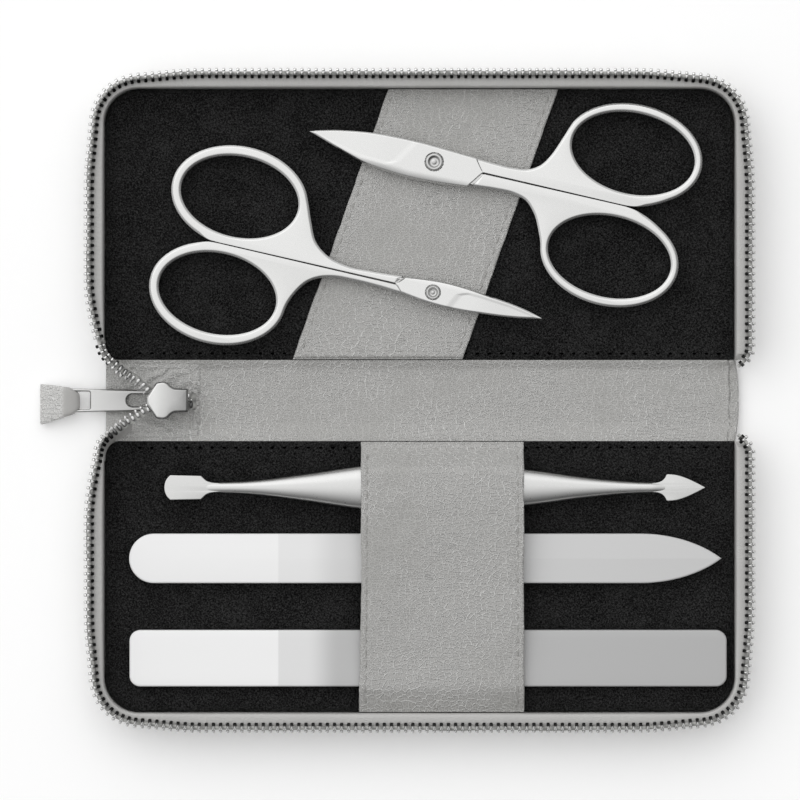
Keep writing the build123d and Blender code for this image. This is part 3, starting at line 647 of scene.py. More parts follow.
def facing_height(x, y):
    """Top of the facing: flat, then up towards the lining, with pulls at both ends and a
    raised seam near the right end."""
    rise = 0.95 * np.where(y < 0, ease(-y, 4.8, 9.5), ease(y, 7.0, 9.5))
    soft = 0.10 * ripple(x, y, 19.0, 0.4) + 0.05 * ripple(x, y, 6.0, 2.0)
    pulls = 0.14 * np.sin(1.5 * y + 0.25 * x + 1.5 * ripple(x, y, 14.0, 3.0))
    ends = hump(x, 66, 9) + 0.9 * hump(x, -47, 7)
    bow = x - 72.7 - 0.1 * np.sin(0.9 * y)
    seam = 0.22 * hump(bow, -0.45, 0.5) - 0.28 * hump(bow, 0, 0.15)
    return FACING_TOP + rise + (soft + pulls * ends * 0.6) * (1 - rise) + seam


def tops(height, side, rows, left, right, share):
    """X of the points across each row, and their heights."""
    x = left + (right - left)[:, None] * share[None]
    return x, height(x, side * rows[:, None])


for side, half in HALVES:
    right = spine_end(facing_rows) + 0.02
    _, height = tops(facing_height, side, facing_rows, -73.0, right, facing_x)
    fold_skin(half + "_spine_facing", side, facing_rows, np.full(len(right), -73.0), right,
              COVER_TOP, height, (7.8, 10.0), grey_leather,
              ["spine_facing"] if side < 0 else [], share=facing_x, edge=4)

# %% [markdown]
# A small patch of the same leather is stitched down over the end of the zip. Its free edge
# is turned under, which makes a narrow ridge with gathers across it. Like the strip under
# it, it is made as two pieces, one for each half.

# %% Patch under the slider
PATCH_HALF = 8.5
PATCH_LEFT = -73.05
PATCH_RISE = 1.72
patch_rows = np.linspace(0, PATCH_HALF, 46)
patch_x = np.concatenate([np.linspace(0, 0.84, 80), np.linspace(0.845, 1, 50)])


def patch_height(x, y):
    """Top of the patch: it lies on the facing, with slack folds that fan out from the
    slider and a rib at its right edge that is gathered every 1.2 mm."""
    fan = np.sin(2.4 * np.abs(y) - 1.1 * (x + 62) + 1.6 * ripple(x, y, 7.0, 1.0))
    slack = 0.24 * fan * hump(x, -61, 9) * (1 - ease(np.abs(y), 6.5, 8.2))
    rib = hump(x, -52.0, 0.75) * (1 - ease(np.abs(y + 1.2), 4.9, 5.9))
    gathers = 0.62 + 0.16 * np.sin(4.6 * y + 0.8 * np.sin(1.7 * y)) + 0.1 * np.sin(11 * y)
    groove = -0.22 * hump(x, -53.2, 0.22) - 0.2 * hump(x, -50.9, 0.3)
    facing = facing_height(x, y)
    return (facing + PATCH_RISE - 0.65 * FACING_TOP + slack + rib * gathers + groove)


for side, half in HALVES:
    right = -50.2 - 0.35 * ease(patch_rows, 4.5, 8.5) + 0.12 * np.sin(side * patch_rows)
    x, height = tops(patch_height, side, patch_rows, PATCH_LEFT, right, patch_x)
    thin = 0.33 * ease(patch_rows, PATCH_HALF - 0.7, PATCH_HALF)[:, None]
    thin = thin + 0.36 * ease(x, -53.0, -50.3) * (1 - hump(x, -52.0, 0.9))
    fold_skin(half + "_slider_patch", side, patch_rows, np.full(len(right), PATCH_LEFT),
              right, 1.8, height - thin, (6.2, 10.0), patch_leather,
              ["zip_end_patch"] if side < 0 else [], share=patch_x, edge=4)

# %% [markdown]
# The suede lining is glued to the board. It is made as nested rings from its outline
# inwards, so that its edge can roll down smoothly, with slight waves in the glued face. The
# corners beside the pull are cut round; those at the far end of the spine are square.

# %% Linings
def oval(centre, half, count, start=0.0, end=2 * np.pi, whole=True):
    """Points round an ellipse, anticlockwise."""
    turn = np.linspace(start, end, count, endpoint=not whole)
    return np.stack([centre[0] + half[0] * np.cos(turn), centre[1] + half[1] * np.sin(turn)],
                    1)


def rounded_outline(x0, x1, y0, y1, radii, steps=10):
    """Corner arcs of a rectangle, anticlockwise from its lower left corner, joined by
    straight sides with points along them."""
    corners = [oval((x + way_x * r, y + way_y * r), (r, r), steps, start * np.pi / 2,
                    (start + 1) * np.pi / 2, False)
               for (x, y, way_x, way_y, start), r in zip((
                   (x0, y0, 1, 1, 2), (x1, y0, -1, 1, 3), (x1, y1, -1, -1, 0),
                   (x0, y1, 1, -1, 1)), radii)]
    share = np.linspace(0, 1, 40)[1:-1, None]
    sides = [corner[-1] + (corners[k - 3][0] - corner[-1]) * share
             for k, corner in enumerate(corners)]
    return np.concatenate([part for pair in zip(corners, sides) for part in pair])


def inset_loop(loop, distance):
    """Moves an anticlockwise loop inwards: each point goes along the mean of its two sides'
    normals, further at a sharp corner so that the sides move by the distance."""
    ahead = unit(np.roll(loop, -1, 0) - loop)
    normal = np.stack([-ahead[:, 1], ahead[:, 0]], 1)
    mean = unit(normal + np.roll(normal, 1, 0))
    return loop + mean * distance / np.maximum((mean * normal).sum(1, keepdims=True), 0.3)


def raised(loop, z):
    """A flat loop at a height: one number, or a column with one a point."""
    return np.concatenate([loop, np.broadcast_to(z, (len(loop), 1))], 1)


LINING_BACK = 2.4
LINING_EDGE = [(0.5, LINING_BACK), (0.01, LINING_BACK), (0.0, 2.46), (-0.001, 2.7),
               (0.0, 2.95), (0.004, 3.12), (0.012, 3.19)]     # share of the way in, height
LINING_FACE = (0.03, 0.08, 0.16, 0.26, 0.38, 0.5, 0.62, 0.74, 0.86, 1.0)
PULL_CORNER, SQUARE_CORNER = 3.6, 0.4
for side, half in HALVES:
    y0, y1 = sorted((side * NEAR_Y, side * FAR_Y))
    radii = (PULL_CORNER, SQUARE_CORNER, CORNER, CORNER)
    loop = rounded_outline(-HALF_LENGTH, HALF_LENGTH, y0, y1, radii[::side])
    middle = np.stack([np.clip(loop[:, 0], -50, 50), np.full(len(loop), (y0 + y1) / 2)], 1)
    layers = LINING_EDGE + [(share, FLOOR_Z) for share in LINING_FACE]
    rings = np.stack([raised(loop + (middle - loop) * share, height)
                      for share, height in layers])
    waves = 0.05 * ripple(rings[..., 0], rings[..., 1], 9.0, 0.7)
    rings[..., 2] += (rings[..., 2] > FLOOR_Z - 0.05) * waves
    lining = make_piece(half + "_suede_lining", tube(rings), suede,
                        half + "_half", [half + "_lining"])

# %% [markdown]
# Hundreds of small shapes, such as stitches and zip teeth, are copies of one template. The
# whole crowd is placed at once: each copy has an origin and three axes, and every template
# point is the origin plus its coordinates times the axes.

# %% Crowds of small shapes
UP = np.array([0.0, 0.0, 1.0])
STITCH_PITCH = 2.8


def crowd(template, origins, along, across, up):
    """Copies of a shape: origin + x * along + y * across + z * up, for every copy."""
    points, faces = template
    axes = np.stack([along, across, up], 1)
    placed = origins[:, None, :] + np.einsum("pk,ckj->cpj", points, axes)
    shifts = np.arange(len(origins)) * len(points)
    return placed, [[v + s for v in face] for s in shifts for face in faces]


def pill(length, radius, around=6, rows=5):
    """A rounded rod along x: circles whose radius follows a fourth-power oval."""
    x = np.linspace(-1, 1, rows)[:, None]
    r = radius * (1 - 0.93 * x**4)
    turn = circle(around)
    return tube(rings_of(x * length / 2, r * np.cos(turn), r * np.sin(turn)))


def level(height):
    """A flat surface at that height."""
    return lambda x, y: np.full(np.shape(x), height)


def stitch_row(name, start, end, surface, body, finish, long=1.9, thick=0.17):
    """A row of stitches from start to end on a surface given as height over x and y. Each
    is skewed a little, as a hand leaves it."""
    start, end = np.array(start, float), np.array(end, float)
    length = np.linalg.norm(end - start)
    count = int(length / STITCH_PITCH)
    share = (np.arange(count) + 0.5) / count
    flat = start + (end - start) * share[:, None]
    heading = (end - start) / length
    step = 0.3
    slope = (surface(*(flat + heading * step).T)
             - surface(*(flat - heading * step).T)) / (2 * step)
    skew = 0.06 * np.sin(7 * np.arange(count))
    along = unit(np.stack([heading[0] - heading[1] * skew, heading[1] + heading[0] * skew,
                           slope], 1))
    across = unit(np.cross(UP, along))
    shape = crowd(pill(long, thick), raised(flat, surface(*flat.T)[:, None]), along, across,
                  np.cross(along, across))
    make_piece(name, shape, finish, body, crease=80)


for side, half in HALVES:
    stitch_row(half + "_lining_stitches", (-66.5, side * 11.0), (71.0, side * 10.9),
               level(FLOOR_Z - 0.02), half + "_half", black_thread, 0.9, 0.26)

# %% [markdown]
# The bands are straps of the same leather. The upper one is glued flat and slants; the
# lower one is sewn at both ends and is pulled taut over the tools. Both have a turned edge,
# a row of stitches along it and the shallow unevenness of a hand-cut strap. Each is a pile
# of closed rings along its middle line.

# %% Bands
BAND_THICK, TAIL_THICK = 1.1, 0.3
BAND_LOW = 3.75         # middle of a band that lies on the lining
BAND_NEAR, TAIL_NEAR = 10.3, 9.62
SEAM_IN = 1.5


def strap(path, left, right, thick, radius=0.42, across=110):
    """Rings along a path of (y, z), and the line along their top: a flat top with a groove
    at each stitch line, rounded edges and a flat underside. left, right and thick have one
    value a row: the X of its edges and its thickness."""
    left, right, thick = left[:, None], right[:, None], thick[:, None]
    heading = unit(np.gradient(path, axis=0))
    normal = np.stack([-heading[:, 1], heading[:, 0]], 1)
    normal *= np.sign(normal[:, 1:2])
    share = np.linspace(0, 1, across)[None]
    share = 0.55 * share + 0.45 * (0.5 - 0.5 * np.cos(np.pi * share))
    x_top = left + radius + (right - left - 2 * radius) * share
    edge = np.minimum(x_top - left, right - x_top)
    along = np.broadcast_to(path[:, :1], x_top.shape)
    lift = (thick / 2 - 0.13 * thick / BAND_THICK * hump(edge, SEAM_IN, 0.28)
            + 0.05 * ripple(x_top, along, 8.0, 1.3) + 0.03 * ripple(x_top, along, 3.1, 0.2))
    turn = np.linspace(0, np.pi, 8)[None, 1:-1]
    round_out, round_up = radius * np.sin(turn), thick / 2 * np.cos(turn)
    x = np.concatenate([x_top, right - radius + round_out, x_top[:, ::-1],
                        left + radius - round_out], 1)
    up = np.concatenate([lift, round_up, 0 * x_top - thick / 2, -round_up], 1)
    return (rings_of(x, path[:, :1] + normal[:, :1] * up, path[:, 1:] + normal[:, 1:] * up),
            path + normal * thick / 2)


def soft_path(corners, softness, count, step=0.05):
    """A line through corners, made round by averaging each place with its surroundings; it
    is run on past both ends for that."""
    corners = np.asarray(corners, float)
    at = run_length(corners)
    reach = 3 * softness
    fine = np.arange(-reach, at[-1] + reach, step)
    line = sample(corners, at, fine)
    past = np.clip(fine - at[-1], 0, None) + np.clip(fine, None, 0)
    line[:, 0] += past * np.sign(corners[-1, 0] - corners[0, 0])
    kernel = np.exp(-0.5 * (np.arange(-reach, reach + 0.01, step) / softness) ** 2)
    kernel /= kernel.sum()
    pad = len(kernel) // 2
    line = np.stack([np.convolve(column, kernel, "valid") for column in line.T], 1)
    return sample(line, fine[pad:pad + len(line)], np.linspace(0, at[-1], count))


def with_tail(path):
    """The path and the thickness along it: thin at the tail that is skived to tuck in
    beside the spine, and there sunk so that its underside stays where it was."""
    full = ease(np.abs(path[:, 0]), BAND_NEAR - 0.35, BAND_NEAR + 0.25)
    thick = TAIL_THICK + (BAND_THICK - TAIL_THICK) * full
    return path - np.stack([0 * thick, (BAND_THICK - thick) / 2], 1), thick


def waver(at, size, strength, seed, fine_seed):
    """Wavering of a cut edge, coarse and fine."""
    return (strength * ripple(at, 0 * at, size, seed)
            + 0.05 * ripple(at, 0 * at, 4.0, fine_seed))


rows = np.concatenate([np.linspace(TAIL_NEAR, BAND_NEAR + 0.5, 16)[:-1],
                       np.linspace(BAND_NEAR + 0.5, FAR_Y, 150)])
path, thick = with_tail(np.stack([rows, np.full(len(rows), BAND_LOW)], 1))
wave = waver(rows, 12.0, 0.10, 0.5, 1.5)
slant = 22.0 * (rows - BAND_NEAR) / (FAR_Y - BAND_NEAR)
rings, _ = strap(path, -29.3 + slant + wave, 10.3 + slant - 0.8 * wave, thick)
upper_band = make_piece("upper_leather_band", tube(rings), grey_leather,
                        "upper_half", ["upper_band"])

path, thick = with_tail(soft_path(
    [(-TAIL_NEAR, BAND_LOW), (-11.6, BAND_LOW), (-16.1, 10.45), (-22.5, 10.45),
     (-67.0, 6.95), (-71.6, BAND_LOW), (-FAR_Y, BAND_LOW)], 0.8, 280))
down = path[:, 0]
wave = waver(down, 14.0, 0.12, 2.2, 0.4)
spread = 0.45 * ease(-down, 40, 72)
rings, arch = strap(path, -13.55 + wave - spread, 24.2 - 0.7 * wave + 0.3 * spread, thick)
lower_band = make_piece("lower_leather_band", tube(rings), grey_leather,
                        "lower_half", ["lower_band"])
print("lower band is", round(float(run_length(arch)[-1]), 1), "mm long on top")

arch = arch[np.argsort(arch[:, 0])]
on_arch = lambda x, y: np.interp(y, *arch.T) - 0.13
on_upper = level(BAND_LOW + 0.42)
for half, place, start, end in (
        ("lower", "left", (-12.1, -11.8), (-12.5, -71.2)),
        ("lower", "right", (22.75, -11.8), (22.95, -71.2)),
        ("lower", "near", (-11.8, -11.3), (22.3, -11.3)),
        ("lower", "far", (-12.2, -71.5), (22.6, -71.5)),
        ("upper", "left", (-27.3, 11.6), (-6.2, 71.2)),
        ("upper", "right", (9.1, 11.6), (30.2, 71.2)),
        ("upper", "near", (-27.0, 11.5), (8.9, 11.5)),
        ("upper", "far", (-5.8, 71.3), (29.8, 71.3))):
    stitch_row(half + "_band_" + place + "_stitches", start, end,
               on_arch if half == "lower" else on_upper, half + "_half", grey_thread)

# %% [markdown]
# A metal zip has cast teeth clamped on the bead of a woven tape. Each tooth has two legs, a
# saddle between them and a nib on its head that locks between its opposite neighbours. One
# tooth is a closed tube of twelve stations from leg to leg, and a number at each station says
# how bright the metal is painted: painted shade on legs and saddle, a painted highlight on
# the head.

# %% Zip teeth and tape
TOOTH_PITCH = 1.65
TOOTH_FOOT = 8.7
STATIONS = np.array([     # across the chain, lowest, highest, half thickness, brightness
    (-1.2, 0.3, 0.95, 0.3, 0.0), (-1.05, 0.05, 1.35, 0.4, 0.0),
    (-0.75, 0.0, 1.5, 0.42, 0.02), (-0.5, 0.0, 1.7, 0.38, 0.06), (-0.4, 0.0, 2.1, 0.37, 0.8),
    (-0.05, 0.0, 2.25, 0.38, 1.0), (0.28, 0.0, 2.15, 0.37, 1.0),
    (0.42, 0.0, 1.85, 0.33, 0.25), (0.56, 0.0, 1.5, 0.38, 0.4), (0.78, 0.0, 1.5, 0.42, 1.0),
    (1.08, 0.05, 1.3, 0.42, 1.0), (1.24, 0.3, 0.95, 0.32, 0.5)])


def squarish(turn, power):
    """Cosine and sine of the turns, pushed out towards the corners of a square."""
    return [np.sign(wave) * np.abs(wave) ** power for wave in (np.cos(turn), np.sin(turn))]


across, low, high, thick, bright = STATIONS.T[..., None]
round_out, round_up = squarish(circle(10, 0.3), 0.7)
tooth_rings = rings_of(thick * round_out, across,
                       (low + high) / 2 + (high - low) / 2 * round_up)
tooth = tube(tooth_rings)
# painted shade low on each tooth and a painted highlight high on it, from the brightness
# column
tooth_painted_light = (bright * (0.15 + 0.85 * ease(tooth_rings[..., 2], 0.5, 1.2))).reshape(-1)


def chain_line(side):
    """Middle of a chain at the tooth feet, from its left end to its right end."""
    base, normal = rim(13.5, 7.9, 0.3, CHAIN_OUT)
    return pinch(raised(base + normal * CHAIN_OUT, TOOTH_FOOT) * [1, side, 1])


def follow(line, at):
    """Points and unit headings at distances along a line."""
    along = run_length(line)
    ahead, behind = sample(line, along, at + 0.3), sample(line, along, at - 0.3)
    return sample(line, along, at), unit(ahead - behind)


def set_painted_light(piece, values):
    """Stores on each point how bright its metal is painted: painted shade and painted
    highlight.
    """
    painted_light = piece.data.attributes.new("painted_light", "FLOAT", "POINT")
    painted_light.data.foreach_set("value", values.reshape(-1).astype(np.float32))


def place_teeth(name, origins, heading, up, hides, body=None, painted_brightening=0.0):
    """A row of teeth, each square to its heading, with its head along up. The last argument,
    one number or one a tooth, paints the shaded parts brighter: painted light."""
    up = np.broadcast_to(up, heading.shape)
    wobble = 1 + 0.015 * np.sin(2.1 * np.arange(len(origins)))[:, None]
    shape = crowd(tooth, origins, heading * wobble, unit(np.cross(up, heading)), up)
    teeth = make_piece(name, shape, tooth_metal, body, hides, 50)
    extra = np.broadcast_to(painted_brightening, len(origins))[:, None]
    set_painted_light(teeth, tooth_painted_light + (0.85 - tooth_painted_light) * extra)
    return teeth


TAPE = np.array([(-0.24, -0.45), (-0.26, 0.1), (-0.42, 0.55), (-0.4, 0.85), (-0.15, 1.02),
                 (0.15, 1.02), (0.4, 0.85), (0.42, 0.55), (0.26, 0.1), (0.24, -0.45)])
for side, half, shift in ((-1, "lower", 0.25), (1, "upper", 0.75)):
    line = chain_line(side)
    total = run_length(line)[-1]
    at = np.arange(shift * TOOTH_PITCH, total - 1.6, TOOTH_PITCH)
    origins, heading = follow(line, at)
    # times side, so that the legs stay inside the case on both halves
    place_teeth(half + "_chain_teeth", origins, heading * side, UP, [half + "_zip_teeth"],
                half + "_half")
    # woven tape with its bead, between the wall and the teeth
    origins, heading = follow(line, np.linspace(0, total, 900))
    outward = np.cross(heading, UP) * -side
    rings = origins[:, None] + outward[:, None] * TAPE[:, :1] + UP * TAPE[:, 1:]
    make_piece(half + "_woven_tape", tube(rings), zip_cloth, half + "_half",
               [half + "_zip_tape"])
    # the stop that ends the chain
    origins, heading = follow(line, np.array([total - 1.0]))
    squat = tooth[0] * [0.95, 0.62, 0.7], tooth[1]
    shape = crowd(squat, origins + UP * 0.05, heading, np.cross(UP, heading), UP[None])
    stop = make_piece(half + "_chain_stop", shape, tooth_metal, half + "_half",
                      [half + "_top_stop"], 50)
    # the stop is painted dark nearly all over: painted shade
    set_painted_light(stop, tooth_painted_light * 0.12)
    print(half, "chain has", len(at), "teeth")

# %% [markdown]
# Between the left end of each wall and the slider the chain hangs free. It twists there:
# on the wall the heads point up, in the slider they point at the other chain. The leather
# wall follows it as a soft gusset that runs down to the corner of the lining.

# %% Chains at the slider
LEAD_KNOTS = {
    "upper": [(-73.6, 11.6, 9.75), (-72.3, 9.6, 9.55), (-70.95, 8.15, 9.1),
              (-69.7, 6.95, 8.5), (-68.4, 6.0, 7.55), (-67.1, 5.2, 6.85), (-65.8, 4.4, 6.69),
              (-64.6, 3.5, 6.7), (-63.7, 2.5, 6.7), (-62.9, 1.75, 6.7)],
    "lower": [(-74.25, -11.0, 9.75), (-73.3, -9.0, 9.55), (-72.1, -7.7, 9.1),
              (-70.9, -6.7, 8.5), (-69.5, -5.6, 7.6), (-68.2, -4.6, 6.98),
              (-66.7, -3.7, 6.73), (-65.4, -2.9, 6.7), (-64.2, -2.1, 6.7),
              (-62.9, -1.6, 6.7)]}
GUSSET_FOOT = [(-73.2, 14.2, 3.3), (-72.8, 11.6, 3.1), (-70.9, 9.4, 2.9),
               (-69.0, 8.5, 2.8), (-67.2, 7.2, 2.9)]
GUSSET_END = 0.76
TOOTH_MIDDLE = 1.15


def free_chain(line, share, side):
    """At shares of a free chain's length: its middle, its heading and where its teeth
    point, turning from straight up to level."""
    middle, heading = follow(line, share * run_length(line)[-1])
    level_way = -side * unit(np.cross(UP, heading) * [1, 1, 0])
    tip = np.radians(90) * ease(share[:, None], 0.12, 0.7)
    return middle, heading, UP * np.cos(tip) + level_way * np.sin(tip)


for side, half in HALVES:
    start = chain_line(side)[[0]] + UP * TOOTH_MIDDLE
    line = smooth_line(np.concatenate([start, LEAD_KNOTS[half]]), 200)
    total = run_length(line)[-1]
    share = np.arange(0.9, total, 1.42) / total
    middle, heading, up = free_chain(line, share, side)
    up = unit(up - heading * (up * heading).sum(1, keepdims=True))
    # the teeth are painted brighter towards the slider: painted highlight
    teeth = place_teeth(half + "_lead_teeth", middle - up * TOOTH_MIDDLE, heading, up,
                        ["zip_lead_" + half], painted_brightening=0.8 * ease(share, 0.3, 0.75))
    # gusset: from the teeth's feet down to the lining's corner and the spine
    share = np.linspace(0, GUSSET_END, 60)
    middle, heading, up = free_chain(line, share, side)
    foot = smooth_line(GUSSET_FOOT, 60) * [1, side, 1]
    v = np.linspace(0, 1, 22)
    sheet = ((middle - up * 0.55)[:, None] * (1 - v)[:, None] + foot[:, None] * v[:, None])
    s = share[:, None]
    sheet[..., 2] += np.sin(np.pi * v) * (0.55 - 0.9 * s
                                          + 0.13 * np.sin(9 * v + 22 * s + 2 * side))
    rings = np.concatenate([sheet, (sheet - UP * 0.7)[:, ::-1]], 1)
    # the gusset gets the lighter copy of the leather: painted light against its shade
    gusset = make_piece(half + "_gusset_leather", tube(rings), lightened_leather,
                        crease=60)
    # tape on the free chain
    middle, heading, up = free_chain(line, np.linspace(0, 1, 70), side)
    strip = middle[:, None] - up[:, None] * (0.3 - np.linspace(-1.15, 0.3, 6)[:, None])
    out = np.cross(heading, up)[:, None] * 0.25
    rings = np.concatenate([strip + out, (strip - out)[:, ::-1]], 1)
    tape = make_piece(half + "_lead_tape", tube(rings), zip_cloth)
    for piece in (teeth, gusset, tape):
        bend_at_fold(piece, side, 3.5, 13.0, 5.0)

# %% [markdown]
# Flat pieces of metal, glass and leather start as one outline with holes. Their edges are
# rounded by rings that step inwards while they rise through a quarter circle. The faces
# between the outline and the holes are filled with triangles.

# %% Flat pieces with rounded edges
def round_edge(steps):
    """Rows of (how far in, how far down) from the flat face out, along a quarter circle."""
    turn = np.linspace(0, np.pi / 2, steps)
    return np.stack([1 - np.sin(turn), 1 - np.cos(turn)], 1)


FILED_EDGE = np.array([(1, 0), (0.75, 0.03), (0.6, 0.12), (0.1, 0.5), (0, 0.9)])
STAMPED_EDGE = np.array([(1, 0), (0.9, 0.02), (0.12, 0.64), (0, 1.1)])


def slab(loops, low, high, radius, edge=round_edge(5)):
    """A plate. The first loop is its outline, anticlockwise; the others are holes,
    clockwise. radius is one number, or a list with a number or one a point for each loop;
    edge gives the shape of the edges in radii."""
    points, faces, count = [], [], 0
    lowest, highest = [], []
    for number, loop in enumerate(loops):
        r = radius[number] if isinstance(radius, list) else radius
        r = np.broadcast_to(r, len(loop))[:, None]
        rings = [raised(inset_loop(loop, r * inset), z + way * r * drop)
                 for z, way, rows in ((low, 1, edge), (high, -1, edge[::-1]))
                 for inset, drop in rows]
        faces += (ring_quads(len(rings), len(loop)) + count).tolist()
        points += rings
        lowest.append((loop, rings[0], count))
        count += len(rings) * len(loop)
        highest.append((loop, rings[-1], count - len(loop)))
    for caps in (lowest, highest):
        flat = [[(float(x), float(y), 0.0) for x, y, _ in ring] for _, ring, _ in caps]
        index = np.concatenate([start + np.arange(len(loop)) for loop, _, start in caps])
        faces += [[int(index[k]) for k in triangle]
                  for triangle in geometry.tessellate_polygon(flat)]
    return np.concatenate(points), faces


def joined(*shapes):
    """Several closed shapes as one."""
    points, faces, count = [], [], 0
    for some, its in shapes:
        points.append(some)
        faces += [[v + count for v in face] for face in its]
        count += len(some)
    return np.concatenate(points), faces


def mirrored(shape):
    """The shape with its y turned round."""
    return shape[0] * [1, -1, 1], shape[1]


def moved(shape, *by):
    """The shape moved by x, y and z."""
    return shape[0] + by, shape[1]


def thin_out(loop, least):
    """Drops points that lie closer than the least distance to the one before."""
    keep = [0]
    for k in range(1, len(loop)):
        if np.linalg.norm(loop[k] - loop[keep[-1]]) >= least:
            keep.append(k)
    return loop[keep]


# %% [markdown]
# The slider is die-cast zinc, tumbled and nickel plated: two plates joined at the nose by a
# wedge. The plate on show has broad shoulders, a waist and a square tail, and its edges are
# rounded over. A bridge underneath holds the link of the pull.

# %% Slider
SLIDER_TOP, SLIDER_EDGE, SLIDER_CROWN = 8.75, 0.6, 0.14
half_loop = smooth_line([(-63.3, 0.0), (-63.22, 0.7), (-62.6, 1.8), (-61.5, 3.5),
                         (-61.1, 4.05), (-60.2, 4.32), (-59.0, 4.3), (-58.4, 4.0),
                         (-57.7, 3.3), (-56.9, 2.84), (-55.8, 2.74), (-54.1, 2.72)], 46)
half_loop = np.concatenate([half_loop, [(-53.78, 2.56), (-53.68, 2.25)]])
loop = np.concatenate([half_loop[::-1], half_loop[1:] * [1, -1]])

rings = [raised(inset_loop(loop, 0.2), 8.0), raised(loop, 8.12)]
rings += [raised(inset_loop(loop, SLIDER_EDGE * inset), SLIDER_TOP - SLIDER_EDGE * drop)
          for inset, drop in FILED_EDGE[::-1]]
start = rings[-1][:, :2]
goal = np.stack([np.clip(loop[:, 0], -60.5, -56.0), 0 * loop[:, 0]], 1)
rings += [raised(start + (goal - start) * share,
                 SLIDER_TOP + SLIDER_CROWN * (1 - (1 - share) ** 2))
          for share in np.linspace(0, 1, 9)[1:]]
top_plate = tube(np.stack(rings))
low_plate = slab([loop], 4.75, 5.42, 0.25)

x, y = loop.T
flange_edge = loop[(x > -60.3) & (x < -54.3) & (y > 0)]
flange_edge = flange_edge[np.argsort(flange_edge[:, 0])]
flange_loop = np.concatenate([flange_edge - [0, 0.6], flange_edge[::-1]])
flanges = [slab([flange_loop], low, high, 0.05, round_edge(2))
           for low, high in ((5.4, 6.0), (7.3, 8.05))]
wedge = slab([np.array([(-63.15, -0.75), (-60.9, -0.05), (-60.9, 0.05), (-63.15, 0.75)])],
             5.4, 8.1, 0.04, round_edge(2))

BRIDGE_X, BRIDGE_Z = -59.54, 4.9
# corners of a strip's section: across it and up, for a thickness of half a millimetre
corner_across = np.array([-1, 1, 1, -1])
corner_up = np.array([-0.25, -0.25, 0.25, 0.25])
turn = np.linspace(0, np.pi, 20)[:, None]
bridge = tube(rings_of(
    BRIDGE_X + (1.2 - corner_up) * np.cos(turn), corner_across,
    BRIDGE_Z - 1.75 * np.sin(turn) ** 0.7 + corner_up * np.sin(turn)))
make_piece("zip_slider", joined(top_plate, low_plate, *flanges, *map(mirrored, flanges),
                                wedge, bridge),
           slider_nickel, "slider", ["slider_body"])

# the joined teeth behind the slider, and their tape
CHAIN_Z = 6.75
x = np.arange(-58.6, -52.9, 0.7)
y_side = np.where(np.arange(len(x)) % 2 == 0, -1.0, 1.0)
# teeth from one chain are painted bright and those from the other keep their dark feet:
# painted light and shade
place_teeth("engaged_teeth", rings_of(x, y_side * 1.75, CHAIN_Z),
            np.tile([1.0, 0, 0], (len(x), 1)), rings_of(0, -y_side, 0), ["zip_tail"],
            "spine", np.where(y_side > 0, 0.9, 0.1))
x = np.linspace(-59.5, -52.0, 12)[:, None]
rings = rings_of(x, corner_across * (2.0 - 0.3 * ease(x, -53.4, -52.0)),
                 CHAIN_Z - 3.4 * ease(x, -53.6, -52.2) + corner_up)
make_piece("joined_tape", tube(rings), zip_cloth, "spine")

# %% [markdown]
# The pull is a stamped link with a slot round the slider's bridge and a second slot for the
# leather tab. The tab is a strip folded round the link's outer bar and glued to itself, so
# it is smooth at the fold and grained further out.

# %% Link and tab
LINK_PIVOT, TAB_PIVOT = (BRIDGE_X, 0.0, 4.0), (-81.95, -0.25, 3.06)
LINK_TILT, TAB_TILT = math.radians(2.4), math.radians(17.0)
LINK_REACH, LINK_HALF_THICK = 23.08, 0.45


def tilted(points, pivot, run, tilt):
    """From the piece's own frame, x leading away to the left, to the case's frame: the
    length is turned down by run and the thickness by tilt."""
    x, y, z = points.T
    return np.stack([pivot[0] - x * np.cos(run) - z * np.sin(tilt), pivot[1] + y,
                     pivot[2] - x * np.sin(run) + z * np.cos(tilt)], 1)


def box_loop(x0, x1, half0, half1, radii, steps=7):
    """An anticlockwise four-sided loop with its corners rounded: half0 at x0, half1 at x1."""
    corners = np.array([(x0, -half0), (x1, -half1), (x1, half1), (x0, half0)])
    t = np.linspace(0, 1, steps)[:, None]
    parts = []
    for here, before, after, radius in zip(corners, np.roll(corners, 1, 0),
                                           np.roll(corners, -1, 0), radii):
        a, b = here - unit(here - before) * radius, here + unit(after - here) * radius
        parts.append((1 - t) ** 2 * a + 2 * t * (1 - t) * here + t**2 * b)
    return np.concatenate(parts)


outline = box_loop(-0.65, LINK_REACH, 2.35, 2.9, (0.9, 0.5, 0.5, 0.9))
slot_end = oval((7.2, 0), (1.4, 1.4), 20, -np.pi / 2, np.pi / 2, False)
near_slot = np.concatenate([[(0.65, -1.4)], slot_end, [(0.65, 1.4)]])
far_slot = box_loop(LINK_REACH - 1.3 - 4.6, LINK_REACH - 1.3, 2.0, 2.08, (0.35,) * 4)
plate = slab([outline, near_slot[::-1], far_slot[::-1]], -LINK_HALF_THICK, LINK_HALF_THICK,
             0.38, STAMPED_EDGE)
pin = tube(rings_of(0.42 * np.cos(circle(14)), np.array([[-1.7], [1.7]]),
                    0.42 * np.sin(circle(14))))
points, faces = joined(plate, pin)
make_piece("pull_link_plate", (tilted(points, LINK_PIVOT, LINK_TILT, LINK_TILT), faces),
           link_nickel, "pull_link", ["pull_link"])

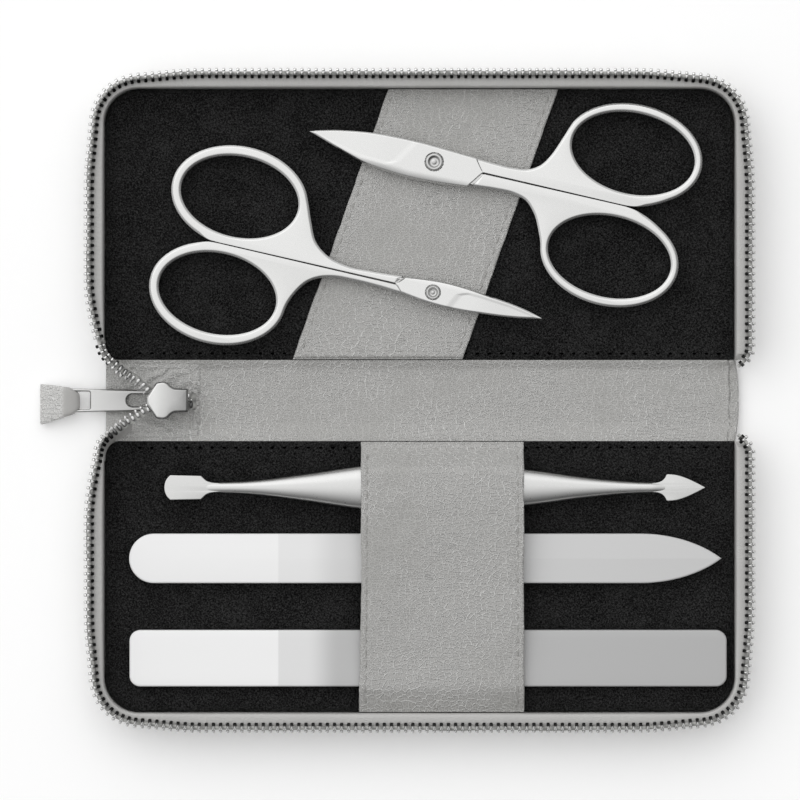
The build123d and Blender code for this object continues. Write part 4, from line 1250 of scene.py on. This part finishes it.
TAB_KNOTS = [       # distance from the bar, half width, half thickness
    (-2.85, 1.2, 0.25), (-2.7, 1.6, 0.5), (-2.4, 2.05, 0.8), (-1.9, 2.5, 1.05),
    (-1.2, 2.95, 1.25), (0.0, 3.35, 1.38), (1.0, 3.55, 1.34), (2.0, 3.8, 1.18),
    (3.2, 4.08, 1.05), (4.6, 4.38, 1.0), (5.8, 4.6, 0.98), (6.35, 4.7, 0.95),
    (6.5, 4.72, 0.8)]
x, wide, thick = smooth_line(TAB_KNOTS, 60).T[..., None]
out, lift = squarish(circle(72), 0.35)
notch = 1 - 0.05 * hump(lift, 0, 0.12) * np.abs(out)
rough = 1 + 0.03 * ripple(x, out * 5, 2.6, 1.0) * ease(x, 1.5, 3.5)
points, faces = tube(rings_of(x, wide * out * notch, thick * lift * rough))
points[:, 1] -= 0.1 * np.clip(points[:, 0], 0, None)
run = np.where(points[:, 0] > 0, TAB_TILT, LINK_TILT)
make_piece("pull_tab_leather", (tilted(points, TAB_PIVOT, run, TAB_TILT), faces),
           tab_leather, "pull_tab", ["pull_tab"])

# %% [markdown]
# A blade is forged, ground flat and then ground away on its outer face, which leaves a
# hollow that ends in a curved step beside the joint. It is made as rings across the blade,
# from the tip to the point of the joint plate. The height of the outer face is a sum: the
# hollow, a bevel along the back, thinning to the tip and the recess round the screw.

# %% Blades
def plate_rings(edge, back, low, high, lift, drop, radius=0.5, cols=60):
    """Rings from the tip on: each runs up the back, over the top to the edge, down and
    back underneath. lift and drop give what is added to the top and the bottom at (u, v)."""
    gap = edge - back
    width = np.linalg.norm(gap, axis=1, keepdims=True)
    across = gap / width
    r = np.minimum(radius, 0.42 * width)
    way_in, fall = (r * column[None] for column in FILED_EDGE.T)
    inner = r + (width - 2 * r) * np.linspace(0, 1, cols)[None, 1:-1]
    under = inner[:, ::-6]
    offset = np.concatenate([way_in, way_in[:, ::-1], inner, width - way_in,
                             width - way_in[:, ::-1], under], 1)
    inset = np.concatenate([fall, fall[:, ::-1], 0 * inner, fall, fall[:, ::-1],
                            0 * under], 1)
    steps = len(FILED_EDGE)
    on_top = np.repeat([False, True, False], (steps, 2 * steps + cols - 2,
                                              steps + under.shape[1]))
    u, v = (back[:, None] + across[:, None] * offset[..., None]).transpose(2, 0, 1)
    return rings_of(u, v, np.where(on_top, high + lift(u, v) - inset,
                                   low + drop(u, v) + inset))


def two_sides(tip, edge, corner_edge, apex, back, corner_back, rows=290, end_rows=16):
    """The edge and the back of a plate with the same number of points: smooth from the tip
    to the two corners, then straight to the apex."""
    apart = np.array([0.0, 0.05])
    t = np.linspace(0, 1, end_rows)[1:, None]
    sides = []
    for knots, corner, way in ((edge, corner_edge, 1), (back, corner_back, -1)):
        line = smooth_line([np.array(tip) + way * apart, *knots, corner], rows)
        end = np.array(apex) + way * apart * 0.4
        sides.append(np.concatenate([line, np.array(corner) + (end - corner) * t]))
    return sides


nail = dict(
    name="nail_scissors", pivot=(3.4, 55.398), heading=-13.0, tip=(-29.71, 0.45),
    edge=[(-28.2, 1.05), (-25.2, 1.85), (-20.67, 2.72), (-15.58, 3.39), (-10.0, 3.68),
          (-4.44, 3.75), (2.5, 3.45)], corner_edge=(9.45, 3.09), apex=(11.62, 0.2),
    back=[(-27.0, -0.45), (-23.74, -1.54), (-20.0, -2.75), (-16.03, -3.9), (-12.3, -4.5),
          (-8.68, -4.79), (-2.44, -4.93), (3.2, -4.6)], corner_back=(8.58, -4.1),
    step=([-2.9, -1.75, 1.7, 3.8], [-9.6, -7.6, -5.4, -4.1]),
    bevel=([-29.7, -25.2, -16.8, -10.8, -5.0, 9.0], [0.3, -0.83, -2.65, -2.95, -3.4, -3.0]),
    flare=[(8.0, 3.12), (9.45, 3.09), (14.0, 2.88), (18.59, 2.88), (22.04, 3.44),
           (24.43, 5.09), (25.89, 7.34), (27.65, 11.68), (29.05, 15.6)],
    flare_to=159, under_flare=[(9.62, 3.62), (11.5, 3.45), (15.5, 3.15), (20.0, 3.21),
                               (22.55, 3.93), (25.08, 6.31), (27.15, 10.2), (28.3, 13.2)],
    under_to=170, seam_end=(55.5, 3.75), seam_from=-48,
    seam=[(44.0, 0.1), (45.8, 0.13), (48.5, 0.5), (50.78, 1.2), (53.2, 2.35)],
    seam_start=12.0, ring=(44.6, 12.3), hole=(14.45, 9.35), rim=(16.3, 11.5),
    tongue=[(7.0, -3.2), (14.0, -2.9), (14.0, -0.15), (7.0, -0.15)], crease=11.6,
    screw=1.98, bodies=("nail_scissors", "nail_scissors_lever"))
cuticle = dict(
    name="cuticle_scissors", pivot=(3.1, 25.099), heading=167.0, tip=(-25.9, 0.2),
    edge=[(-24.4, 0.62), (-20.11, 1.42), (-16.0, 1.95), (-12.28, 2.28), (-7.5, 2.66),
          (-3.0, 2.74), (2.5, 2.4)], corner_edge=(7.2, 1.75), apex=(8.9, 0.05),
    back=[(-23.6, -0.55), (-19.45, -1.41), (-16.0, -1.85), (-12.46, -2.2), (-7.0, -2.8),
          (-2.01, -2.99), (2.6, -2.66)], corner_back=(6.86, -2.14),
    step=([-1.8, -0.75, 2.64], [-7.4, -5.0, -3.25]),
    bevel=([-25.9, -18.0, -10.7, -5.0, 7.0], [0.1, -1.15, -1.75, -1.9, -1.7]),
    flare=[(6.0, 1.95), (7.32, 1.95), (12.0, 1.68), (18.04, 1.56), (23.89, 1.94),
           (26.48, 2.72), (28.89, 4.28), (30.9, 7.05), (32.3, 10.4)],
    flare_to=172, under_flare=[(7.35, 2.12), (9.5, 1.98), (14.5, 1.66), (20.74, 1.56),
                               (25.36, 2.66), (28.91, 5.21), (31.08, 9.46), (32.6, 13.3)],
    under_to=161, seam_end=(52.87, 0.16), seam_from=-75,
    seam=[(44.0, 0.1), (48.0, 0.1), (51.5, 0.1)],
    seam_start=9.2, ring=(48.7, 11.5), hole=(13.8, 9.3), rim=(16.1, 11.8),
    tongue=[(5.0, -1.85), (11.0, -1.6), (11.0, -0.15), (5.0, -0.15)], crease=8.9,
    screw=1.6, bodies=("cuticle_scissors_lever", "cuticle_scissors"))
LOWER_PLATE, UPPER_PLATE = (4.4, 5.9), (5.95, 7.45)
GRIP, GRIP_EDGE = (4.625, 7.225), 0.72
CREASE_Z = 5.96         # the upper shank's underside where it crosses the joint
SCREW = np.array([      # radius, height
    (1.15, 4.45), (1.15, 7.05), (1.8, 7.12), (1.9, 7.25), (1.92, 7.5), (1.85, 7.66),
    (1.72, 7.75), (1.44, 7.76), (1.34, 7.7), (1.02, 7.3), (0.92, 7.24), (0.62, 7.22),
    (0.52, 7.28), (0.4, 7.36), (0.05, 7.38)])


def turned(shape, pair):
    """From the pair's own frame, x towards the rings, to the case's frame."""
    angle = math.radians(pair["heading"])
    u, v, z = shape[0].T
    return np.stack([pair["pivot"][0] + u * math.cos(angle) - v * math.sin(angle),
                     pair["pivot"][1] + u * math.sin(angle) + v * math.cos(angle), z],
                    1), shape[1]


def outer_face(pair, recess):
    """Height added to a blade's outer face at (u, v), sunk round the screw by recess."""
    def lift(u, v):
        step = np.interp(v, *pair["step"])
        bevel = np.interp(u, *pair["bevel"])
        hollow = ease(step - u, 0.0, 2.0) * ease(v - bevel, -0.3, 0.7)
        slope = np.clip((bevel + 0.4 - v) / 2.2, 0, 1) ** 2
        tip = 1 - ease(u, pair["tip"][0], 0.35 * pair["tip"][0])
        sunk = 1 - ease(np.hypot(u, v), pair["screw"] + 0.1, pair["screw"] + 0.22)
        return -0.14 * hollow - 0.7 * slope - 0.7 * tip - recess * sunk
    return lift


def grip(pair, flare, to, seam_start):
    """Shank and finger ring on the side of +v: one outline with a hole, its edges rounded
    except along the seam between the two shanks."""
    run = np.stack([np.linspace(seam_start, 43.6, 60), np.linspace(0.18, 0.1, 60)], 1)
    curve = smooth_line([*pair["seam"], pair["seam_end"]], 30)
    ring = oval(pair["ring"], pair["rim"], 110, math.radians(pair["seam_from"]),
                math.radians(to), False)[1:]
    flank = smooth_line([*flare, ring[-1]], 70)[::-1][1:]
    loop = thin_out(np.concatenate([run, curve, ring, flank]), 0.1)
    narrow = 0.1 + (GRIP_EDGE - 0.1) * ease(loop[:, 1], 0.2, 1.1)
    hole = oval(pair["ring"], pair["hole"], 110)[::-1]
    return slab([loop, hole], *GRIP, [narrow, GRIP_EDGE], FILED_EDGE)


def flat_face(u, v):
    """Adds nothing."""
    return 0 * u


for pair in (nail, cuticle):
    name = pair["name"]
    edge, back = two_sides(*(pair[key] for key in ("tip", "edge", "corner_edge", "apex",
                                                   "back", "corner_back")))
    blade = tube(plate_rings(edge, back, *UPPER_PLATE, outer_face(pair, 0.35), flat_face))
    points, faces = grip(pair, pair["flare"], pair["flare_to"], pair["flare"][0][0])
    over = (points[:, 0] < pair["crease"] + 0.5) & (points[:, 2] < CREASE_Z)
    points[over, 2] = CREASE_Z
    top = joined(blade, (points, faces))
    inwards = unit(edge - back)[::2] * 0.04
    under_face = outer_face(pair, 0.0)
    blade = tube(plate_rings(edge[::2] - inwards, back[::2] + inwards, *LOWER_PLATE,
                             flat_face, lambda u, v: -under_face(u, v), cols=26))
    shank = grip(pair, pair["under_flare"], pair["under_to"], pair["seam_start"])
    tongue = slab([np.array(pair["tongue"])], 4.7, 5.88, 0.05, round_edge(2))
    under = joined(blade, mirrored(shank), tongue)
    for shape, place, body in ((top, "top", pair["bodies"][0]),
                               (under, "under", pair["bodies"][1])):
        make_piece(name + "_" + place + "_blade_and_ring", turned(shape, pair), satin_steel,
                   body, [name + "_" + place + "_half"], 32)
    radii, heights = SCREW.T[..., None]
    radii = radii * pair["screw"] / 1.92
    shape = tube(rings_of(radii * np.cos(circle(48)), radii * np.sin(circle(48)), heights))
    make_piece(name + "_joint_screw", turned(shape, pair), screw_steel, name,
               [name + "_screw"], 35)

# %% [markdown]
# The pusher is one forging: a flat spindle, oval in section, drawn out to a neck at each
# end and hammered flat into a spatula and an arrowhead. The handle is a row of ovals; the
# flat ends are plates whose outlines run into it.

# %% Cuticle pusher
PUSHER_Y, PUSHER_Z = -20.2, 6.5
HANDLE = [              # distance along, half width, half height
    (-50.2, 0.9, 0.3), (-49.2, 1.05, 0.55), (-47.5, 1.12, 0.78), (-45.0, 1.22, 1.0),
    (-40.5, 1.45, 1.28), (-34.8, 2.0, 1.62), (-29.5, 2.7, 1.95), (-25.0, 3.3, 2.2),
    (-19.0, 4.2, 2.5), (-13.1, 5.0, 2.75), (-4.0, 5.5, 2.95), (4.0, 5.6, 3.0),
    (14.0, 5.1, 2.82), (24.1, 4.24, 2.5), (30.0, 3.5, 2.22), (36.0, 2.65, 1.92),
    (42.7, 1.88, 1.55), (48.0, 1.42, 1.3), (52.0, 1.22, 1.15), (54.6, 1.14, 0.98),
    (56.0, 1.05, 0.7), (57.0, 0.9, 0.5)]
x, wide, tall = smooth_line(HANDLE, 190).T[..., None]
turn = circle(64)
handle = tube(rings_of(x, wide * np.cos(turn), tall * np.sin(turn)))

spatula = np.concatenate([
    smooth_line([(-59.25, 0.0), (-59.12, 1.0), (-58.6, 2.1), (-57.9, 2.85)], 16),
    smooth_line([(-50.75, 2.72), (-50.1, 2.1), (-49.5, 1.6), (-48.6, 1.25), (-47.0, 1.05),
                 (-45.0, 0.8)], 22)])
arrow = np.concatenate([
    smooth_line([(51.5, 0.8), (54.0, 1.05), (55.5, 1.25), (56.4, 1.65), (57.0, 2.3),
                 (57.35, 3.0)], 22),
    smooth_line([(57.7, 3.12), (59.5, 2.95), (61.8, 2.25), (64.2, 1.15), (66.3, 0.04)], 26)])
ends = []
for upper, tip_x, first in ((spatula, -59.25, 1), (arrow, 66.3, 0)):
    loop = np.concatenate([upper[::-1], (upper * [1, -1])[first:]])
    points, faces = slab([thin_out(loop, 0.05)], -0.6, 0.6, 0.16, round_edge(4))
    points[:, 2] *= 0.35 + 0.65 * np.clip(np.abs(points[:, 0] - tip_x) / 7.5, 0, 1)
    ends.append((points, faces))
make_piece("forged_cuticle_pusher", moved(joined(handle, *ends), 0, PUSHER_Y, PUSHER_Z),
           forged_steel, "cuticle_pusher", ["cuticle_pusher"], 35)

# %% [markdown]
# Glass files are cut from sheet, their edges ground round, and then etched. Each is a plate
# with soft edges; the coated handle end is the same plate.

# %% Glass files
POINTED_Y, STRAIGHT_Y = -36.7, -59.9
FILE_LOW, FILE_HIGH, FILE_EDGE = 3.3, 5.9, 0.45
POINTED_LEFT, POINTED_TIP, POINTED_HALF = -67.5, 70.2, 5.75
STRAIGHT_LEFT, STRAIGHT_RIGHT, STRAIGHT_HALF, STRAIGHT_CORNER = -67.4, 71.4, 6.55, 2.5
shoulder = np.array([POINTED_TIP - 19.0, POINTED_HALF])
tip = np.array([POINTED_TIP, 0.0])
leave, arrive = (unit(np.array(way)) * np.linalg.norm(tip - shoulder)
                 for way in ((1.0, 0.0), (1.0, -0.75)))
taper = cubic(shoulder, leave, tip, arrive, np.linspace(0, 1, 50)[:, None])
mid = POINTED_LEFT + POINTED_HALF
round_end = oval((mid, 0), (POINTED_HALF,) * 2, 50, np.pi / 2, 1.5 * np.pi, False)
side_line = np.stack([np.linspace(shoulder[0], mid, 40), np.full(40, POINTED_HALF)], 1)
pointed = np.concatenate([taper[::-1], side_line[1:], round_end[1:],
                          (side_line * [1, -1])[::-1][1:], (taper * [1, -1])[1:-1]])
straight = rounded_outline(STRAIGHT_LEFT, STRAIGHT_RIGHT, -STRAIGHT_HALF, STRAIGHT_HALF,
                           (STRAIGHT_CORNER,) * 4, 14)
for name, loop, y, finish in (("pointed", pointed, POINTED_Y, pointed_glass),
                              ("straight", straight, STRAIGHT_Y, straight_glass)):
    plate = slab([thin_out(loop, 0.05)], FILE_LOW, FILE_HIGH, FILE_EDGE, round_edge(6))
    make_piece(name + "_glass_file", moved(plate, 0, y, 0), finish,
               name + "_file", [name + "_file"])

# %% [markdown]
# The set lies on a seamless white table. The sky of this small studio is brightest
# overhead and dim low down, and brighter beyond the case and to its left than on the near
# side, so steel shows dark flanks and a bright top. A large soft lamp stands beyond the
# case and lights it at a slant.

# %% Table, sky and lamp
TABLE_HALF, TABLE_Z, TABLE_GLOW = 3.0, -0.00005, 0.075
white_table, tree, shader, _ = start_finish(
    "white_table", Roughness=0.9, Base_Color="#ffffff", Specular_IOR_Level=0.0,
    Emission_Color="#ffffff")
seen = add(tree, "LightPath", read="Is Camera Ray")
rays = seen.node.outputs
for ray in ("Is Glossy Ray", "Is Transmission Ray"):
    seen = add(tree, "Math", (seen, rays[ray]), operation="ADD")
fill(shader["Emission Strength"], add(tree, "Math", (seen, TABLE_GLOW),
                                      operation="MULTIPLY"))
mesh = bpy.data.meshes.new("table")
mesh.from_pydata([(x * TABLE_HALF, y * TABLE_HALF, TABLE_Z)
                  for x, y in ((-1, -1), (1, -1), (1, 1), (-1, 1))], [], [(0, 1, 2, 3)])
mesh.materials.append(white_table)
table = bpy.data.objects.new("table", mesh)
bpy.context.scene.collection.objects.link(table)

world = bpy.data.worlds.new("studio")
world.use_nodes = True
bpy.context.scene.world = world
tree = world.node_tree
way = add(tree, "TexCoord", read="Generated")
x, y, z = add(tree, "SeparateXYZ", (way,)).node.outputs
beyond = add(tree, "Math", (y, 0.75, 1.0), operation="MULTIPLY_ADD")
beyond = add(tree, "Math", (x, -0.5, beyond), operation="MULTIPLY_ADD")
glow = z
for operation, *others in (("MAXIMUM", 0.0), ("POWER", 1.2), ("MULTIPLY_ADD", 0.95, 0.3),
                           ("MULTIPLY", beyond), ("MAXIMUM", 0.1), ("MINIMUM", 1.26)):
    glow = add(tree, "Math", (glow, *others), operation=operation)
fill(tree.nodes["Background"].inputs["Color"], glow)

lamp_data = bpy.data.lights.new("soft_box", "AREA")
lamp_data.shape = "RECTANGLE"
lamp_data.size, lamp_data.size_y = 2.1, 1.4
lamp_data.energy = 3.2
lamp = bpy.data.objects.new("soft_box", lamp_data)
lamp.location = (-0.6, 1.0, 0.9)
lamp.rotation_euler = (math.radians(-52), 0, math.radians(31))
bpy.context.scene.collection.objects.link(lamp)
